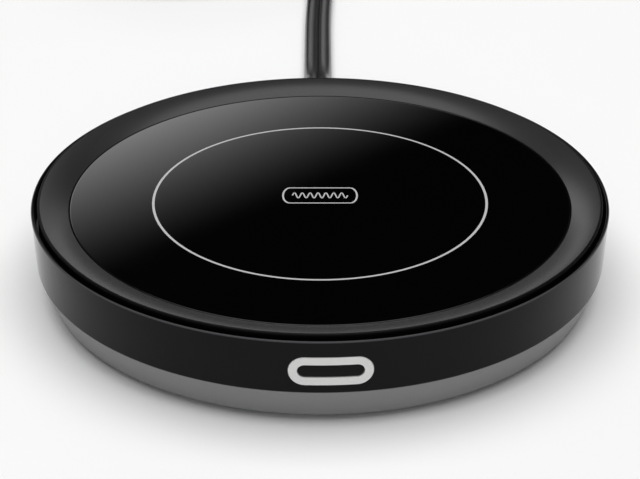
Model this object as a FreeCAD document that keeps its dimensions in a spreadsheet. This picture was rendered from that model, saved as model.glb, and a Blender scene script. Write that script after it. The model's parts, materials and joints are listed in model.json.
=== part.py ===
import FreeCAD, Part
import math
import os
import re
import Sketcher

Vector = FreeCAD.Vector

# Electric mug warmer: a round two-shell base, a sprung heated glass plate that
# sinks a little under a mug, a push button in a pale light ring, and a flat
# twin mains lead. Millimetres, +Z up, origin on the table under the centre,
# button towards -Y, lead towards +Y.

# Driving sizes: name, value, meaning
SIZES = [
    ("rim_radius", 65.4, "outer radius of the dark wall at its top"),
    ("wall_draft", 0.6, "how much narrower the dark wall is at its bottom"),
    ("base_inset", 2.9, "how much the grey band steps in towards the table"),
    ("foot_height", 1.4, "gap between table and underside"),
    ("base_height", 7.3, "height of the grey band"),
    ("wall_height", 12.3, "height of the dark wall"),
    ("lip_round", 0.3, "rounding of the lip"),
    ("base_round", 0.8, "rounding of the lower edge"),
    ("side_wall", 1.9, "dark wall thickness"),
    ("lip_width", 0.8, "thickness of the dark wall's upper edge"),
    ("rebate_clearance", 0.5, "sunken collar to the ledge inside the dark wall"),
    ("base_wall", 2.2, "grey shell wall thickness"),
    ("base_floor", 2.0, "grey shell floor thickness"),
    ("deck_rise", 0.8, "top of the inner deck above the shell split"),
    ("deck_thickness", 1.6, "inner deck thickness"),
    ("deck_reach", 16.5, "width of the inner deck"),
    ("lap_depth", 1.8, "locating lap below the split"),
    ("lap_width", 1.6, "thickness of the lap"),
    ("lap_clearance", 0.2, "lap to the grey shell"),
    ("boss_radius", 3.2, "screw boss"),
    ("boss_inset", 5.9, "screw circle inside the underside's edge"),
    ("base_screw_radius", 1.25, "case screw shank"),
    ("base_screw_length", 6.2, "case screw shank length"),
    ("case_head_radius", 2.5, "case screw head"),
    ("case_head", 1.0, "case screw head height"),
    ("thread_clearance", 0.05, "screw shank to its hole"),
    ("head_clearance", 0.3, "screw head to its recess"),
    ("foot_radius", 6.0, "rubber foot"),
    ("foot_inset", 11.9, "foot circle inside the underside's edge"),
    ("foot_recess", 0.6, "depth of the foot's recess"),
    ("foot_clearance", 0.2, "foot to its recess"),
    ("running_gap", 0.7, "black groove between lip and collar"),
    ("collar_width", 6.9, "visible collar width"),
    ("collar_rise", 0.9, "collar edge above the lip"),
    ("collar_depth", 2.6, "collar edge height"),
    ("collar_round", 0.3, "rounding of the collar's edge"),
    ("glass_drop", 1.2, "glass top below the lip"),
    ("glass_thickness", 3.0, "glass plate thickness"),
    ("glass_clearance", 0.1, "glass edge to collar"),
    ("ledge_width", 2.0, "ledge under the glass edge"),
    ("ledge_thickness", 1.6, "thickness of that ledge"),
    ("collar_skirt", 1.6, "collar block outside the glass seat"),
    ("plate_travel", 0.8, "how far the heated plate sinks"),
    ("spreader_radius", 42.1, "heat spreader disc"),
    ("spreader_thickness", 1.6, "heat spreader disc thickness"),
    ("film_thickness", 0.5, "heating film thickness"),
    ("pad_thickness", 0.9, "insulation pad thickness"),
    ("stack_clearance", 0.3, "discs to the carrier pan's wall"),
    ("carrier_thickness", 1.6, "plate carrier wall"),
    ("carrier_clearance", 0.4, "carrier edge inside the collar block"),
    ("sensor_hole", 9.0, "radius of the opening under the spreader"),
    ("post_radius", 1.6, "guide post"),
    ("post_inset", 2.3, "guide post circle inside the glass seat"),
    ("post_clearance", 0.3, "guide post to its hole"),
    ("stop_gap", 0.05, "stop screw head to the deck at rest"),
    ("stop_head_radius", 3.0, "stop screw head"),
    ("stop_head", 1.3, "stop screw head height"),
    ("stop_screw_radius", 0.8, "stop screw shank"),
    ("stop_screw_length", 3.5, "stop screw shank length"),
    ("ear_radius", 2.4, "collar screw ear"),
    ("ear_clearance", 0.1, "ear outside the glass seat"),
    ("plate_screw_radius", 0.9, "collar screw shank"),
    ("plate_screw_depth", 3.4, "collar screw in the collar"),
    ("plate_head_radius", 1.9, "collar screw head"),
    ("plate_head", 1.2, "collar screw head height"),
    ("spring_wire", 0.5, "spring wire diameter"),
    ("spring_radius", 2.6, "spring mean radius"),
    ("ring_radius", 37.9, "printed ring on the glass"),
    ("ring_line", 0.45, "printed line width"),
    ("badge_width", 17.3, "printed outline, side to side"),
    ("badge_depth", 8.0, "printed outline, front to back"),
    ("badge_round", 1.7, "bulge of the outline's ends"),
    ("badge_line", 0.4, "outline's line width"),
    ("badge_shift", 1.5, "printed outline behind the centre"),
    ("print_thickness", 0.05, "print let into the glass"),
    ("button_offset", 2.2, "button to the right of the middle"),
    ("button_rise", 5.2, "button centre above the shell split"),
    ("window_width", 17.4, "light ring, side to side"),
    ("window_height", 6.7, "light ring height"),
    ("window_stroke", 1.85, "light ring width of stroke"),
    ("window_depth", 0.7, "light ring behind the wall's inside"),
    ("window_clearance", 0.05, "light ring in its hole"),
    ("proud_line", 0.1, "light ring proud of the wall"),
    ("button_clearance", 0.15, "button in the light ring"),
    ("button_travel", 0.5, "button travel"),
    ("flange_margin", 1.0, "button flange beyond its opening"),
    ("flange_thickness", 0.8, "button flange thickness"),
    ("flange_setback", 1.0, "button flange behind the light ring"),
    ("leg_width", 3.0, "button leg that meets the switch"),
    ("leg_thickness", 1.0, "button leg thickness"),
    ("press_gap", 0.1, "leg to plunger when pressed"),
    ("plunger_length", 0.4, "switch plunger length"),
    ("plunger_width", 1.4, "switch plunger width"),
    ("switch_width", 4.7, "push switch body width"),
    ("switch_depth", 3.5, "push switch body depth"),
    ("switch_height", 2.0, "push switch body height"),
    ("slip_length", 22.0, "switch board length"),
    ("slip_thickness", 0.8, "switch board thickness"),
    ("slip_margin", 1.4, "switch board in front of the switch"),
    ("led_spread", 6.2, "light to the button's centre"),
    ("led_width", 3.0, "side light width"),
    ("led_depth", 1.3, "side light depth"),
    ("led_height", 1.0, "side light height"),
    ("slip_screw_radius", 0.8, "switch board screw shank"),
    ("slip_head_radius", 1.5, "switch board screw head"),
    ("slip_head", 0.9, "switch board screw head height"),
    ("slip_screw_spread", 8.4, "switch board screw to the button's centre"),
    ("sensor_radius", 2.0, "temperature sensor"),
    ("clip_length", 26.0, "sensor clip length"),
    ("clip_width", 6.0, "sensor clip width"),
    ("clip_thickness", 0.5, "sensor clip thickness"),
    ("clip_screw_radius", 0.8, "clip screw shank"),
    ("clip_head_radius", 1.5, "clip screw head"),
    ("clip_head", 0.8, "clip screw head height"),
    ("clip_screw_inset", 2.0, "clip screw from the clip's end"),
    ("link_radius", 1.5, "thermal fuse"),
    ("link_length", 9.0, "thermal fuse length"),
    ("link_offset", 5.4, "thermal fuse from the centre"),
    ("link_clearance", 0.1, "thermal fuse under the spreader"),
    ("board_width", 52.0, "control board, side to side"),
    ("board_front", 22.0, "control board edge in front of the centre"),
    ("board_back", 14.0, "control board edge behind the centre"),
    ("board_thickness", 1.6, "control board thickness"),
    ("standoff_height", 0.8, "board above the floor"),
    ("standoff_radius", 2.5, "standoff"),
    ("standoff_inset", 3.5, "standoff from the board's edges"),
    ("board_screw_radius", 0.9, "board screw shank"),
    ("board_screw_depth", 1.8, "board screw below the board"),
    ("board_head_radius", 1.9, "board screw head"),
    ("board_head", 1.1, "board screw head height"),
    ("headroom", 0.5, "tallest board parts under the sunken plate"),
    ("block_width", 10.0, "terminal block width"),
    ("block_depth", 7.0, "terminal block depth"),
    ("fuse_length", 20.0, "mains fuse length"),
    ("fuse_inset", 7.0, "mains fuse from the board's left edge"),
    ("fuse_cap", 5.0, "mains fuse end cap"),
    ("fuse_cap_lip", 0.2, "mains fuse cap thicker than its tube"),
    ("film_cap_width", 13.0, "filter capacitor width"),
    ("film_cap_depth", 5.0, "filter capacitor depth"),
    ("film_cap_inset", 1.0, "filter capacitor from the board's right edge"),
    ("can_length", 11.0, "reservoir capacitor length"),
    ("can_inset", 14.0, "reservoir capacitor from the board's left edge"),
    ("power_width", 10.0, "power switch width"),
    ("power_body", 9.0, "power switch body length"),
    ("power_height", 4.4, "power switch body height"),
    ("power_tab", 6.5, "power switch tab length"),
    ("power_tab_thickness", 1.3, "power switch tab thickness"),
    ("power_inset", 16.0, "power switch from the board's right edge"),
    ("power_front", 20.0, "power switch in front of the centre"),
    ("chip_length", 10.0, "control chip length"),
    ("chip_shift", 2.0, "control chip right of the weight switch's end"),
    ("chip_width", 4.0, "control chip width"),
    ("chip_height", 1.6, "control chip height"),
    ("chip_leg", 1.0, "control chip leg reach"),
    ("chip_leg_width", 0.4, "control chip leg width"),
    ("chip_pitch", 1.27, "control chip leg pitch"),
    ("micro_width", 8.2, "weight switch width"),
    ("micro_depth", 2.8, "weight switch depth"),
    ("micro_plunger", 0.8, "weight switch plunger height"),
    ("lead_radius", 1.1, "mains conductor with its cover"),
    ("heater_lead_radius", 0.7, "heater lead"),
    ("heater_lead_spread", 2.5, "heater lead from the middle"),
    ("sensor_lead_radius", 0.4, "sensor lead"),
    ("signal_lead_radius", 0.5, "switch lead"),
    ("signal_pitch", 1.6, "switch lead pitch"),
    ("signal_landing", 2.0, "switch lead on the board"),
    ("cord_width", 7.6, "flat lead width"),
    ("cord_lobe", 1.95, "radius of each half of the flat lead"),
    ("cord_height", 5.55, "lead centre above the table inside the shell"),
    ("clamp_inset", 22.4, "cord clamp inside the shell split's edge"),
    ("sheath_gap", 6.0, "end of the sheath in front of the cord clamp"),
    ("clamp_length", 18.0, "cord clamp length"),
    ("clamp_width", 5.0, "cord clamp width"),
    ("clamp_thickness", 1.6, "cord clamp thickness"),
    ("clamp_post_radius", 1.9, "cord clamp post"),
    ("clamp_screw_radius", 0.9, "cord clamp screw shank"),
    ("clamp_screw_length", 4.0, "cord clamp screw shank length"),
    ("clamp_head_radius", 1.8, "cord clamp screw head"),
    ("clamp_head", 1.1, "cord clamp screw head height"),
    ("contact_gap", 0.05, "clearance of parts that just meet"),
    ("neck_width", 10.4, "strain relief in the wall, width"),
    ("neck_height", 5.3, "strain relief in the wall, height"),
    ("neck_clearance", 0.1, "strain relief to its notch"),
    ("relief_length", 26.0, "strain relief outside the wall"),
    ("relief_end_width", 8.8, "strain relief tip width"),
    ("relief_end_height", 4.9, "strain relief tip height"),
    ("relief_flange_width", 13.4, "strain relief inner flange width"),
    ("relief_flange", 1.6, "strain relief inner flange thickness"),
    ("relief_clearance", 0.6, "strain relief inner flange to the shells"),
    ("relief_inset", 4.6, "inner flange's outer face from the shell split's edge"),
    ("drop_length", 22.0, "length in which the lead comes down to the table"),
    ("coil_place", 224.0, "where the coil's turns begin, behind the centre"),
    ("coil_radius", 46.0, "outer turn of the coil, at the lead's middle"),
    ("coil_pitch", 4.6, "step between neighbouring turns"),
    ("layer_gap", 0.5, "gap between the coil's two layers"),
    ("twist_start", 172.0, "where the flat lead begins to stand on edge"),
    ("twist_length", 32.0, "length of that quarter twist"),
    ("tail_radius", 60.0, "bend of the lead from the coil to the plug"),
    ("plug_width", 24.0, "plug body width"),
    ("plug_height", 15.0, "plug body height"),
    ("plug_length", 22.0, "plug body length without its neck"),
    ("plug_neck", 10.0, "plug neck length"),
    ("plug_round", 4.0, "plug body's corner radius"),
    ("neck_wall", 1.2, "plug neck round the lead"),
    ("grip_width", 17.3, "plug neck's wide end, width"),
    ("grip_height", 10.5, "plug neck's wide end, height"),
    ("blade_spacing", 12.7, "plug blade spacing"),
    ("blade_width", 6.35, "plug blade width"),
    ("blade_thickness", 1.52, "plug blade thickness"),
    ("blade_length", 16.5, "plug blade length"),
    ("blade_root", 3.0, "plug blade inside the body"),
]

# Counts and angles
FEET = 4
FOOT_TURN = 45
CASE_SCREWS = 4
CASE_SCREW_TURN = 20
POSTS = 4
POST_TURN = 45
COLLAR_SCREWS = 6
SPRING_TURNS = 4
CHIP_LEGS = 8
SIGNAL_LEADS = 3
COIL_TURNS = 4
COIL_STEPS = 4
CLIMB_TURNS = 0.5
TWIST_STEPS = 6
TAIL_STEPS = 10
GAP_STEPS = 48

# Shares of a run, and the least differences that count
BEND_SHARE = 0.45
END_SHARE = 0.3
RISE_SHARE = 0.8
SAME_LENGTH = 0.01
STRAIGHT = 1e-6
SMALL_TURN = 0.0005

document = FreeCAD.newDocument("mug_warmer")
sheet = document.addObject("Spreadsheet::Sheet", "Sizes")
for row, (alias, value, meaning) in enumerate(SIZES, start=1):
    sheet.set(f"A{row}", alias)
    sheet.set(f"B{row}", str(value))
    sheet.set(f"C{row}", meaning)
    sheet.setAlias(f"B{row}", alias)
document.recompute()

# Levels and radii worked out from the driving sizes
SPLIT = "(foot_height + base_height)"
RIM = f"({SPLIT} + wall_height)"
SPLIT_RADIUS = "(rim_radius - wall_draft)"
BASE_RADIUS = f"({SPLIT_RADIUS} - base_inset)"
FLOOR = "(foot_height + base_floor)"
DECK = f"({SPLIT} + deck_rise)"
DECK_UNDER = f"({DECK} - deck_thickness)"
LIP_INNER = "(rim_radius - lip_width)"
WALL_INNER = "(rim_radius - side_wall)"
DECK_OPENING = f"({WALL_INNER} - deck_reach)"
LAP_OUTER = f"({SPLIT_RADIUS} - base_wall - base_inset * lap_depth / base_height - lap_clearance)"
COLLAR_OUTER = f"({LIP_INNER} - running_gap)"
SEAT = f"({COLLAR_OUTER} - collar_width)"
COLLAR_TOP = f"({RIM} + collar_rise)"
COLLAR_UNDER = f"({COLLAR_TOP} - collar_depth)"
REBATE = f"({COLLAR_UNDER} - plate_travel - rebate_clearance)"
GLASS_TOP = f"({RIM} - glass_drop)"
GLASS_UNDER = f"({GLASS_TOP} - glass_thickness)"
LEDGE_UNDER = f"({GLASS_UNDER} - ledge_thickness)"
SPREADER_UNDER = f"({GLASS_UNDER} - spreader_thickness)"
FILM_UNDER = f"({SPREADER_UNDER} - film_thickness)"
PAD_UNDER = f"({FILM_UNDER} - pad_thickness)"
PAN_UNDER = f"({PAD_UNDER} - carrier_thickness)"
CARRIER_UNDER = f"({LEDGE_UNDER} - carrier_thickness)"
BLOCK_OUTER = f"({SEAT} + collar_skirt)"
PAN_INNER = "(spreader_radius + stack_clearance)"
POST_CIRCLE = f"({SEAT} - post_inset)"
EAR_CIRCLE = f"({SEAT} + ear_radius + ear_clearance)"
POST_END = f"({DECK_UNDER} - stop_gap)"
FOOT_CIRCLE = f"({BASE_RADIUS} - foot_inset)"
BOSS_CIRCLE = f"({BASE_RADIUS} - boss_inset)"
BOARD_UNDER = f"({FLOOR} + standoff_height)"
BOARD = f"({BOARD_UNDER} + board_thickness)"
PART_TOP = f"({PAN_UNDER} - plate_travel - headroom)"
CLIP_UNDER = f"({PAN_UNDER} - clip_thickness)"
BUTTON_LEVEL = f"({SPLIT} + button_rise)"
WINDOW_BACK = f"({WALL_INNER} - window_depth)"
FLANGE_FRONT = f"({WINDOW_BACK} - flange_setback)"
FLANGE_BACK = f"({FLANGE_FRONT} - flange_thickness)"
LEG_BACK = f"({FLANGE_FRONT} - leg_thickness)"
PLUNGER_TIP = f"({LEG_BACK} - button_travel - press_gap)"
SWITCH_FRONT = f"({PLUNGER_TIP} - plunger_length)"
SWITCH_BACK = f"({SWITCH_FRONT} - switch_depth)"
SLIP_TOP = f"({DECK} + slip_thickness)"
SLIP_FRONT = f"({SWITCH_FRONT} + slip_margin)"
RELIEF_INNER = f"({SPLIT_RADIUS} - relief_inset - relief_flange)"
RELIEF_STEP = f"({SPLIT_RADIUS} - relief_inset)"
CLAMP_PLACE = f"({SPLIT_RADIUS} - clamp_inset)"
SHEATH_START = f"({CLAMP_PLACE} - sheath_gap)"
CLAMP_LEVEL = "(cord_height + cord_lobe + contact_gap)"
FUSE_PLACE = "(board_width / 2 - fuse_inset)"
FILM_CAP_PLACE = "(board_width / 2 - film_cap_inset - film_cap_width)"
CAN_PLACE = "(board_width / 2 - can_inset)"
POWER_PLACE = "(board_width / 2 - power_inset)"


def size(name):
    """A driving size, read back from the sheet."""
    return float(sheet.get(name))


def bind(target, prop, formula):
    """Tie a property to a formula on the sheet's names."""
    target.setExpression(prop, re.sub(r"\b[a-z][a-z_]+\b", cell_name, formula))


def cell_name(match):
    """The sheet's own name for a driving size; functions stay as they are."""
    word = match.group(0)
    return f"Sizes.{word}" if word in ALIASES else word


ALIASES = {alias for alias, value, meaning in SIZES}


# Solids made from primitives, each placed by formulas
def block(name, low, high):
    """A box between two corners."""
    solid = document.addObject("Part::Box", name)
    for prop, axis, start, end in zip(("Length", "Width", "Height"), "xyz", low, high):
        bind(solid, prop, f"({end}) - ({start})")
        bind(solid, f"Placement.Base.{axis}", start)
    return solid


def rod(name, radius, start, length, axis="z"):
    """A cylinder from a point, along an axis."""
    solid = document.addObject("Part::Cylinder", name)
    turns = {"x": (Vector(0, 1, 0), 90), "y": (Vector(1, 0, 0), -90), "z": (Vector(0, 0, 1), 0)}
    solid.Placement = FreeCAD.Placement(Vector(0, 0, 0), FreeCAD.Rotation(*turns[axis]))
    bind(solid, "Radius", radius)
    bind(solid, "Height", length)
    for letter, value in zip("xyz", start):
        bind(solid, f"Placement.Base.{letter}", value)
    return solid


def hole(name, shank, start, length):
    """A round hole that clears a screw's shank."""
    return rod(name, f"{shank} + thread_clearance", start, length)


def joined(label, solids):
    """Several solids as one piece or one group."""
    group = document.addObject("Part::MultiFuse", label)
    group.Shapes = solids
    return group


def cut(label, base, tool):
    """A solid less a tool."""
    rest = document.addObject("Part::Cut", label)
    rest.Base = base
    rest.Tool = tool
    return rest


def common(label, base, tool):
    """What two solids share."""
    shared = document.addObject("Part::Common", label)
    shared.Base = base
    shared.Tool = tool
    return shared


def around(radius, count, start):
    """Points on a circle, as formulas."""
    step = 360 / count
    angles = [start + step * index for index in range(count)]
    return [(f"({radius}) * cos({angle})", f"({radius}) * sin({angle})") for angle in angles]


def screws(label, places, shank, head, head_level, length, head_height, head_side):
    """Like screws: a head at a level and its shank, which points away from the head."""
    solids = []
    for index, (across, along) in enumerate(places):
        head_start = f"({head_level}) - ({head_height})" if head_side < 0 else head_level
        shank_start = head_level if head_side < 0 else f"({head_level}) - ({length})"
        top = rod(f"{label}_head_{index}", head, (across, along, head_start), head_height)
        stem = rod(f"{label}_shank_{index}", shank, (across, along, shank_start), length)
        solids += [top, stem]
    return joined(label, solids)


def pill(name, width, height, back, front):
    """A stadium prism across the front wall, centred on the button."""
    half = f"(({width}) - ({height})) / 2"
    low = (f"button_offset - {half}", f"-({front})", f"{BUTTON_LEVEL} - ({height}) / 2")
    high = (f"button_offset + {half}", f"-({back})", f"{BUTTON_LEVEL} + ({height}) / 2")
    depth = f"({front}) - ({back})"
    middle = block(f"{name}_middle", low, high)
    ends = []
    for side, sign in (("left", "-"), ("right", "+")):
        start = (f"button_offset {sign} {half}", f"-({front})", BUTTON_LEVEL)
        ends.append(rod(f"{name}_{side}", f"({height}) / 2", start, depth, "y"))
    return joined(name, [middle] + ends)


# Solids of revolution: a sketch of named radii and levels, turned round the axis
def origin_plane(body, role):
    """One of a body's own origin planes."""
    for feature in body.Origin.OriginFeatures:
        if feature.Role == role:
            return feature
    raise ValueError(role)


def turned(label, outline):
    """A body turned from an outline of (radius, level) formulas."""
    body = document.addObject("PartDesign::Body", label)
    sketch = body.newObject("Sketcher::SketchObject", f"{label}_outline")
    sketch.AttachmentSupport = [(origin_plane(body, "XZ_Plane"), "")]
    sketch.MapMode = "FlatFace"
    corners = [(value_of(radius), value_of(level)) for radius, level in outline]
    count = len(corners)
    for index, (radius, level) in enumerate(corners):
        following = corners[(index + 1) % count]
        start = Vector(radius, level, 0)
        end = Vector(following[0], following[1], 0)
        sketch.addGeometry(Part.LineSegment(start, end), False)
    for index in range(count):
        sketch.addConstraint(Sketcher.Constraint("Coincident", index, 2, (index + 1) % count, 1))
    for index, (radius, level) in enumerate(outline):
        across = Sketcher.Constraint("DistanceX", -1, 1, index, 1, corners[index][0])
        sketch.renameConstraint(sketch.addConstraint(across), f"radius_{index}")
        upward = Sketcher.Constraint("DistanceY", -1, 1, index, 1, corners[index][1])
        sketch.renameConstraint(sketch.addConstraint(upward), f"level_{index}")
        bind(sketch, f"Constraints.radius_{index}", radius)
        bind(sketch, f"Constraints.level_{index}", level)
    turn = body.newObject("PartDesign::Revolution", f"{label}_turn")
    turn.Profile = sketch
    turn.ReferenceAxis = (sketch, ["V_Axis"])
    turn.Angle = 360
    document.recompute()
    return body


def value_of(formula):
    """A formula's number, worked out in a spare cell of the sheet."""
    spare = f"D{len(SIZES)}"
    sheet.set(spare, f"={formula}")
    sheet.recompute()
    return float(sheet.get(spare))


def rounded(body, radius, chosen):
    """Round the circular edges for which chosen(edge radius, level) holds."""
    base = body.Tip
    names = []
    for index, edge in enumerate(base.Shape.Edges, start=1):
        curve = edge.Curve
        if isinstance(curve, Part.Circle) and chosen(curve.Radius, curve.Center.z):
            names.append(f"Edge{index}")
    fillet = body.newObject("PartDesign::Fillet", f"{body.Name}_round")
    fillet.Base = (base, names)
    bind(fillet, "Radius", radius)
    document.recompute()
    return body


def near(first, second):
    """Whether two lengths agree."""
    return abs(first - second) < SAME_LENGTH


# Grey lower shell
def make_lower_base():
    outline = [
        ("0", "foot_height"),
        (BASE_RADIUS, "foot_height"),
        (SPLIT_RADIUS, SPLIT),
        (f"{SPLIT_RADIUS} - base_wall", SPLIT),
        (f"{BASE_RADIUS} + base_inset * base_floor / base_height - base_wall", FLOOR),
        ("0", FLOOR),
    ]
    shell = turned("lower_base_shell", outline)
    edge = value_of(BASE_RADIUS)
    rounded(shell, "base_round", lambda radius, level: near(radius, edge))
    posts = []
    for index, (across, along) in enumerate(standoff_places()):
        start = (across, along, f"{FLOOR} - base_floor / 2")
        posts.append(rod(f"standoff_{index}", "standoff_radius", start, "standoff_height + base_floor / 2"))
    for index, (across, along) in enumerate(clamp_places()):
        start = (across, along, f"{FLOOR} - base_floor / 2")
        length = "cord_height + cord_lobe - base_floor / 2 - foot_height"
        posts.append(rod(f"clamp_post_{index}", "clamp_post_radius", start, length))
    holes = []
    for index, (across, along) in enumerate(around(FOOT_CIRCLE, FEET, FOOT_TURN)):
        start = (across, along, "0")
        radius = "foot_radius + foot_clearance"
        holes.append(rod(f"foot_recess_{index}", radius, start, "foot_height + foot_recess"))
    for index, (across, along) in enumerate(around(BOSS_CIRCLE, CASE_SCREWS, CASE_SCREW_TURN)):
        start = (across, along, "0")
        recess_height = "foot_height + case_head + thread_clearance"
        holes.append(rod(f"head_recess_{index}", "case_head_radius + head_clearance", start, recess_height))
        holes.append(hole(f"case_hole_{index}", "base_screw_radius", start, FLOOR))
    for index, (across, along) in enumerate(standoff_places()):
        start = (across, along, f"{BOARD_UNDER} - board_screw_depth")
        holes.append(hole(f"board_hole_{index}", "board_screw_radius", start, "board_screw_depth"))
    for index, (across, along) in enumerate(clamp_places()):
        start = (across, along, f"{CLAMP_LEVEL} - clamp_screw_length + clamp_thickness")
        holes.append(hole(f"clamp_hole_{index}", "clamp_screw_radius", start, "clamp_screw_length"))
    under = "cord_height - neck_height / 2 - neck_clearance"
    low = ("-neck_width / 2 - neck_clearance", RELIEF_STEP, under)
    high = ("neck_width / 2 + neck_clearance", "rim_radius", f"{SPLIT} + deck_rise")
    holes.append(block("lead_notch", low, high))
    whole = joined("lower_base_whole", [shell] + posts)
    return cut("lower_base", whole, joined("lower_base_holes", holes))


def standoff_places():
    """Board standoffs, near the board's corners."""
    across = "board_width / 2 - standoff_inset"
    front = "-(board_front - standoff_inset)"
    back = "board_back - standoff_inset"
    return [(f"-({across})", front), (across, front), (f"-({across})", back), (across, back)]


def clamp_places():
    """Clamp posts, either side of the lead."""
    across = "clamp_length / 2 - clamp_post_radius"
    return [(f"-({across})", CLAMP_PLACE), (across, CLAMP_PLACE)]


# Glossy dark upper shell with its inner deck
def make_upper_housing():
    outline = [
        (SPLIT_RADIUS, SPLIT),
        ("rim_radius", RIM),
        (LIP_INNER, RIM),
        (LIP_INNER, REBATE),
        (WALL_INNER, REBATE),
        (WALL_INNER, DECK),
        (DECK_OPENING, DECK),
        (DECK_OPENING, DECK_UNDER),
        (f"{LAP_OUTER} - lap_width", DECK_UNDER),
        (f"{LAP_OUTER} - lap_width", f"{SPLIT} - lap_depth"),
        (LAP_OUTER, f"{SPLIT} - lap_depth"),
        (LAP_OUTER, SPLIT),
    ]
    shell = turned("upper_housing_shell", outline)
    top = value_of(RIM)
    rounded(shell, "lip_round", lambda radius, level: near(level, top))
    bosses = []
    holes = []
    for index, (across, along) in enumerate(around(BOSS_CIRCLE, CASE_SCREWS, CASE_SCREW_TURN)):
        start = (across, along, FLOOR)
        bosses.append(rod(f"boss_{index}", "boss_radius", start, f"{DECK} - {FLOOR}"))
        depth = "base_screw_length + thread_clearance - base_floor + case_head"
        holes.append(hole(f"boss_hole_{index}", "base_screw_radius", start, depth))
    for index, (across, along) in enumerate(around(POST_CIRCLE, POSTS, POST_TURN)):
        start = (across, along, DECK_UNDER)
        holes.append(rod(f"post_hole_{index}", "post_radius + post_clearance", start, "deck_thickness"))
    for index, (across, along) in enumerate(slip_screw_places()):
        start = (across, along, DECK_UNDER)
        holes.append(hole(f"slip_hole_{index}", "slip_screw_radius", start, "deck_thickness"))
    hole_width = "window_width + 2 * window_clearance"
    hole_height = "window_height + 2 * window_clearance"
    window_inner = f"{WINDOW_BACK} - deck_rise"
    holes.append(pill("window_hole", hole_width, hole_height, window_inner, "rim_radius + side_wall"))
    low = (
        "-relief_flange_width / 2 - relief_clearance",
        f"{RELIEF_INNER} - relief_clearance",
        f"{SPLIT} - lap_depth",
    )
    high = ("relief_flange_width / 2 + relief_clearance", SPLIT_RADIUS, f"{DECK} - deck_thickness / 2")
    holes.append(block("relief_recess", low, high))
    whole = joined("upper_housing_whole", [shell] + bosses)
    return cut("upper_housing", whole, joined("upper_housing_holes", holes))


def make_feet():
    feet = []
    for index, (across, along) in enumerate(around(FOOT_CIRCLE, FEET, FOOT_TURN)):
        start = (across, along, "0")
        feet.append(rod(f"foot_{index}", "foot_radius", start, "foot_height + foot_recess"))
    return joined("rubber_feet", feet)


def make_case_screws():
    places = around(BOSS_CIRCLE, CASE_SCREWS, CASE_SCREW_TURN)
    level = "foot_height + case_head"
    return screws("base_screws", places, "base_screw_radius", "case_head_radius", level,
                  "base_screw_length", "case_head", -1)


# Sunken plate: glass, collar, heater stack and their carrier
def make_glass(printed):
    """The glass, with a shallow bed for its print."""
    outline = [
        ("0", GLASS_UNDER),
        (f"{SEAT} - glass_clearance", GLASS_UNDER),
        (f"{SEAT} - glass_clearance", GLASS_TOP),
        ("0", GLASS_TOP),
    ]
    return cut("glass_plate", turned("glass_disc", outline), printed)


def make_collar():
    outline = [
        (SEAT, GLASS_TOP),
        (COLLAR_OUTER, COLLAR_TOP),
        (COLLAR_OUTER, COLLAR_UNDER),
        (BLOCK_OUTER, COLLAR_UNDER),
        (BLOCK_OUTER, LEDGE_UNDER),
        (f"{SEAT} - ledge_width", LEDGE_UNDER),
        (f"{SEAT} - ledge_width", GLASS_UNDER),
        (SEAT, GLASS_UNDER),
    ]
    ring = turned("plate_collar_ring", outline)
    top = value_of(COLLAR_TOP)
    rounded(ring, "collar_round", lambda radius, level: near(level, top))
    ears = []
    holes = []
    for index, (across, along) in enumerate(around(EAR_CIRCLE, COLLAR_SCREWS, 0)):
        start = (across, along, LEDGE_UNDER)
        ears.append(rod(f"collar_ear_{index}", "ear_radius", start, f"{COLLAR_UNDER} - {LEDGE_UNDER}"))
        depth = "plate_screw_depth + thread_clearance"
        holes.append(hole(f"collar_hole_{index}", "plate_screw_radius", start, depth))
    whole = joined("plate_collar_whole", [ring] + ears)
    return cut("plate_collar", whole, joined("plate_collar_holes", holes))


def make_carrier():
    pan_outer = f"{PAN_INNER} + carrier_thickness"
    outline = [
        ("sensor_hole", PAN_UNDER),
        (pan_outer, PAN_UNDER),
        (pan_outer, CARRIER_UNDER),
        (f"{BLOCK_OUTER} - carrier_clearance", CARRIER_UNDER),
        (f"{BLOCK_OUTER} - carrier_clearance", LEDGE_UNDER),
        (PAN_INNER, LEDGE_UNDER),
        (PAN_INNER, PAD_UNDER),
        ("sensor_hole", PAD_UNDER),
    ]
    pan = turned("plate_carrier_pan", outline)
    solids = [pan]
    holes = []
    for index, (across, along) in enumerate(around(EAR_CIRCLE, COLLAR_SCREWS, 0)):
        start = (across, along, CARRIER_UNDER)
        solids.append(rod(f"carrier_ear_{index}", "ear_radius", start, "carrier_thickness"))
        holes.append(hole(f"ear_hole_{index}", "plate_screw_radius", start, "carrier_thickness"))
    for index, (across, along) in enumerate(around(POST_CIRCLE, POSTS, POST_TURN)):
        start = (across, along, POST_END)
        solids.append(rod(f"post_{index}", "post_radius", start, f"{LEDGE_UNDER} - {POST_END}"))
        depth = "stop_screw_length + thread_clearance"
        holes.append(hole(f"stop_hole_{index}", "stop_screw_radius", start, depth))
    for index, (across, along) in enumerate(clip_screw_places()):
        start = (across, along, PAN_UNDER)
        holes.append(hole(f"clip_hole_{index}", "clip_screw_radius", start, "carrier_thickness"))
    whole = joined("plate_carrier_whole", solids)
    return cut("plate_carrier", whole, joined("plate_carrier_holes", holes))


def make_heater_stack():
    """The aluminium spreader, the heating film and the insulation pad."""
    spreader = rod("heat_spreader", "spreader_radius", ("0", "0", SPREADER_UNDER), "spreader_thickness")
    discs = [spreader]
    for label, level, thickness in (
        ("heating_film", FILM_UNDER, "film_thickness"),
        ("insulation_pad", PAD_UNDER, "pad_thickness"),
    ):
        disc = rod(f"{label}_disc", "spreader_radius", ("0", "0", level), thickness)
        hole = rod(f"{label}_hole", "sensor_hole", ("0", "0", level), thickness)
        discs.append(cut(label, disc, hole))
    return discs


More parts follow.
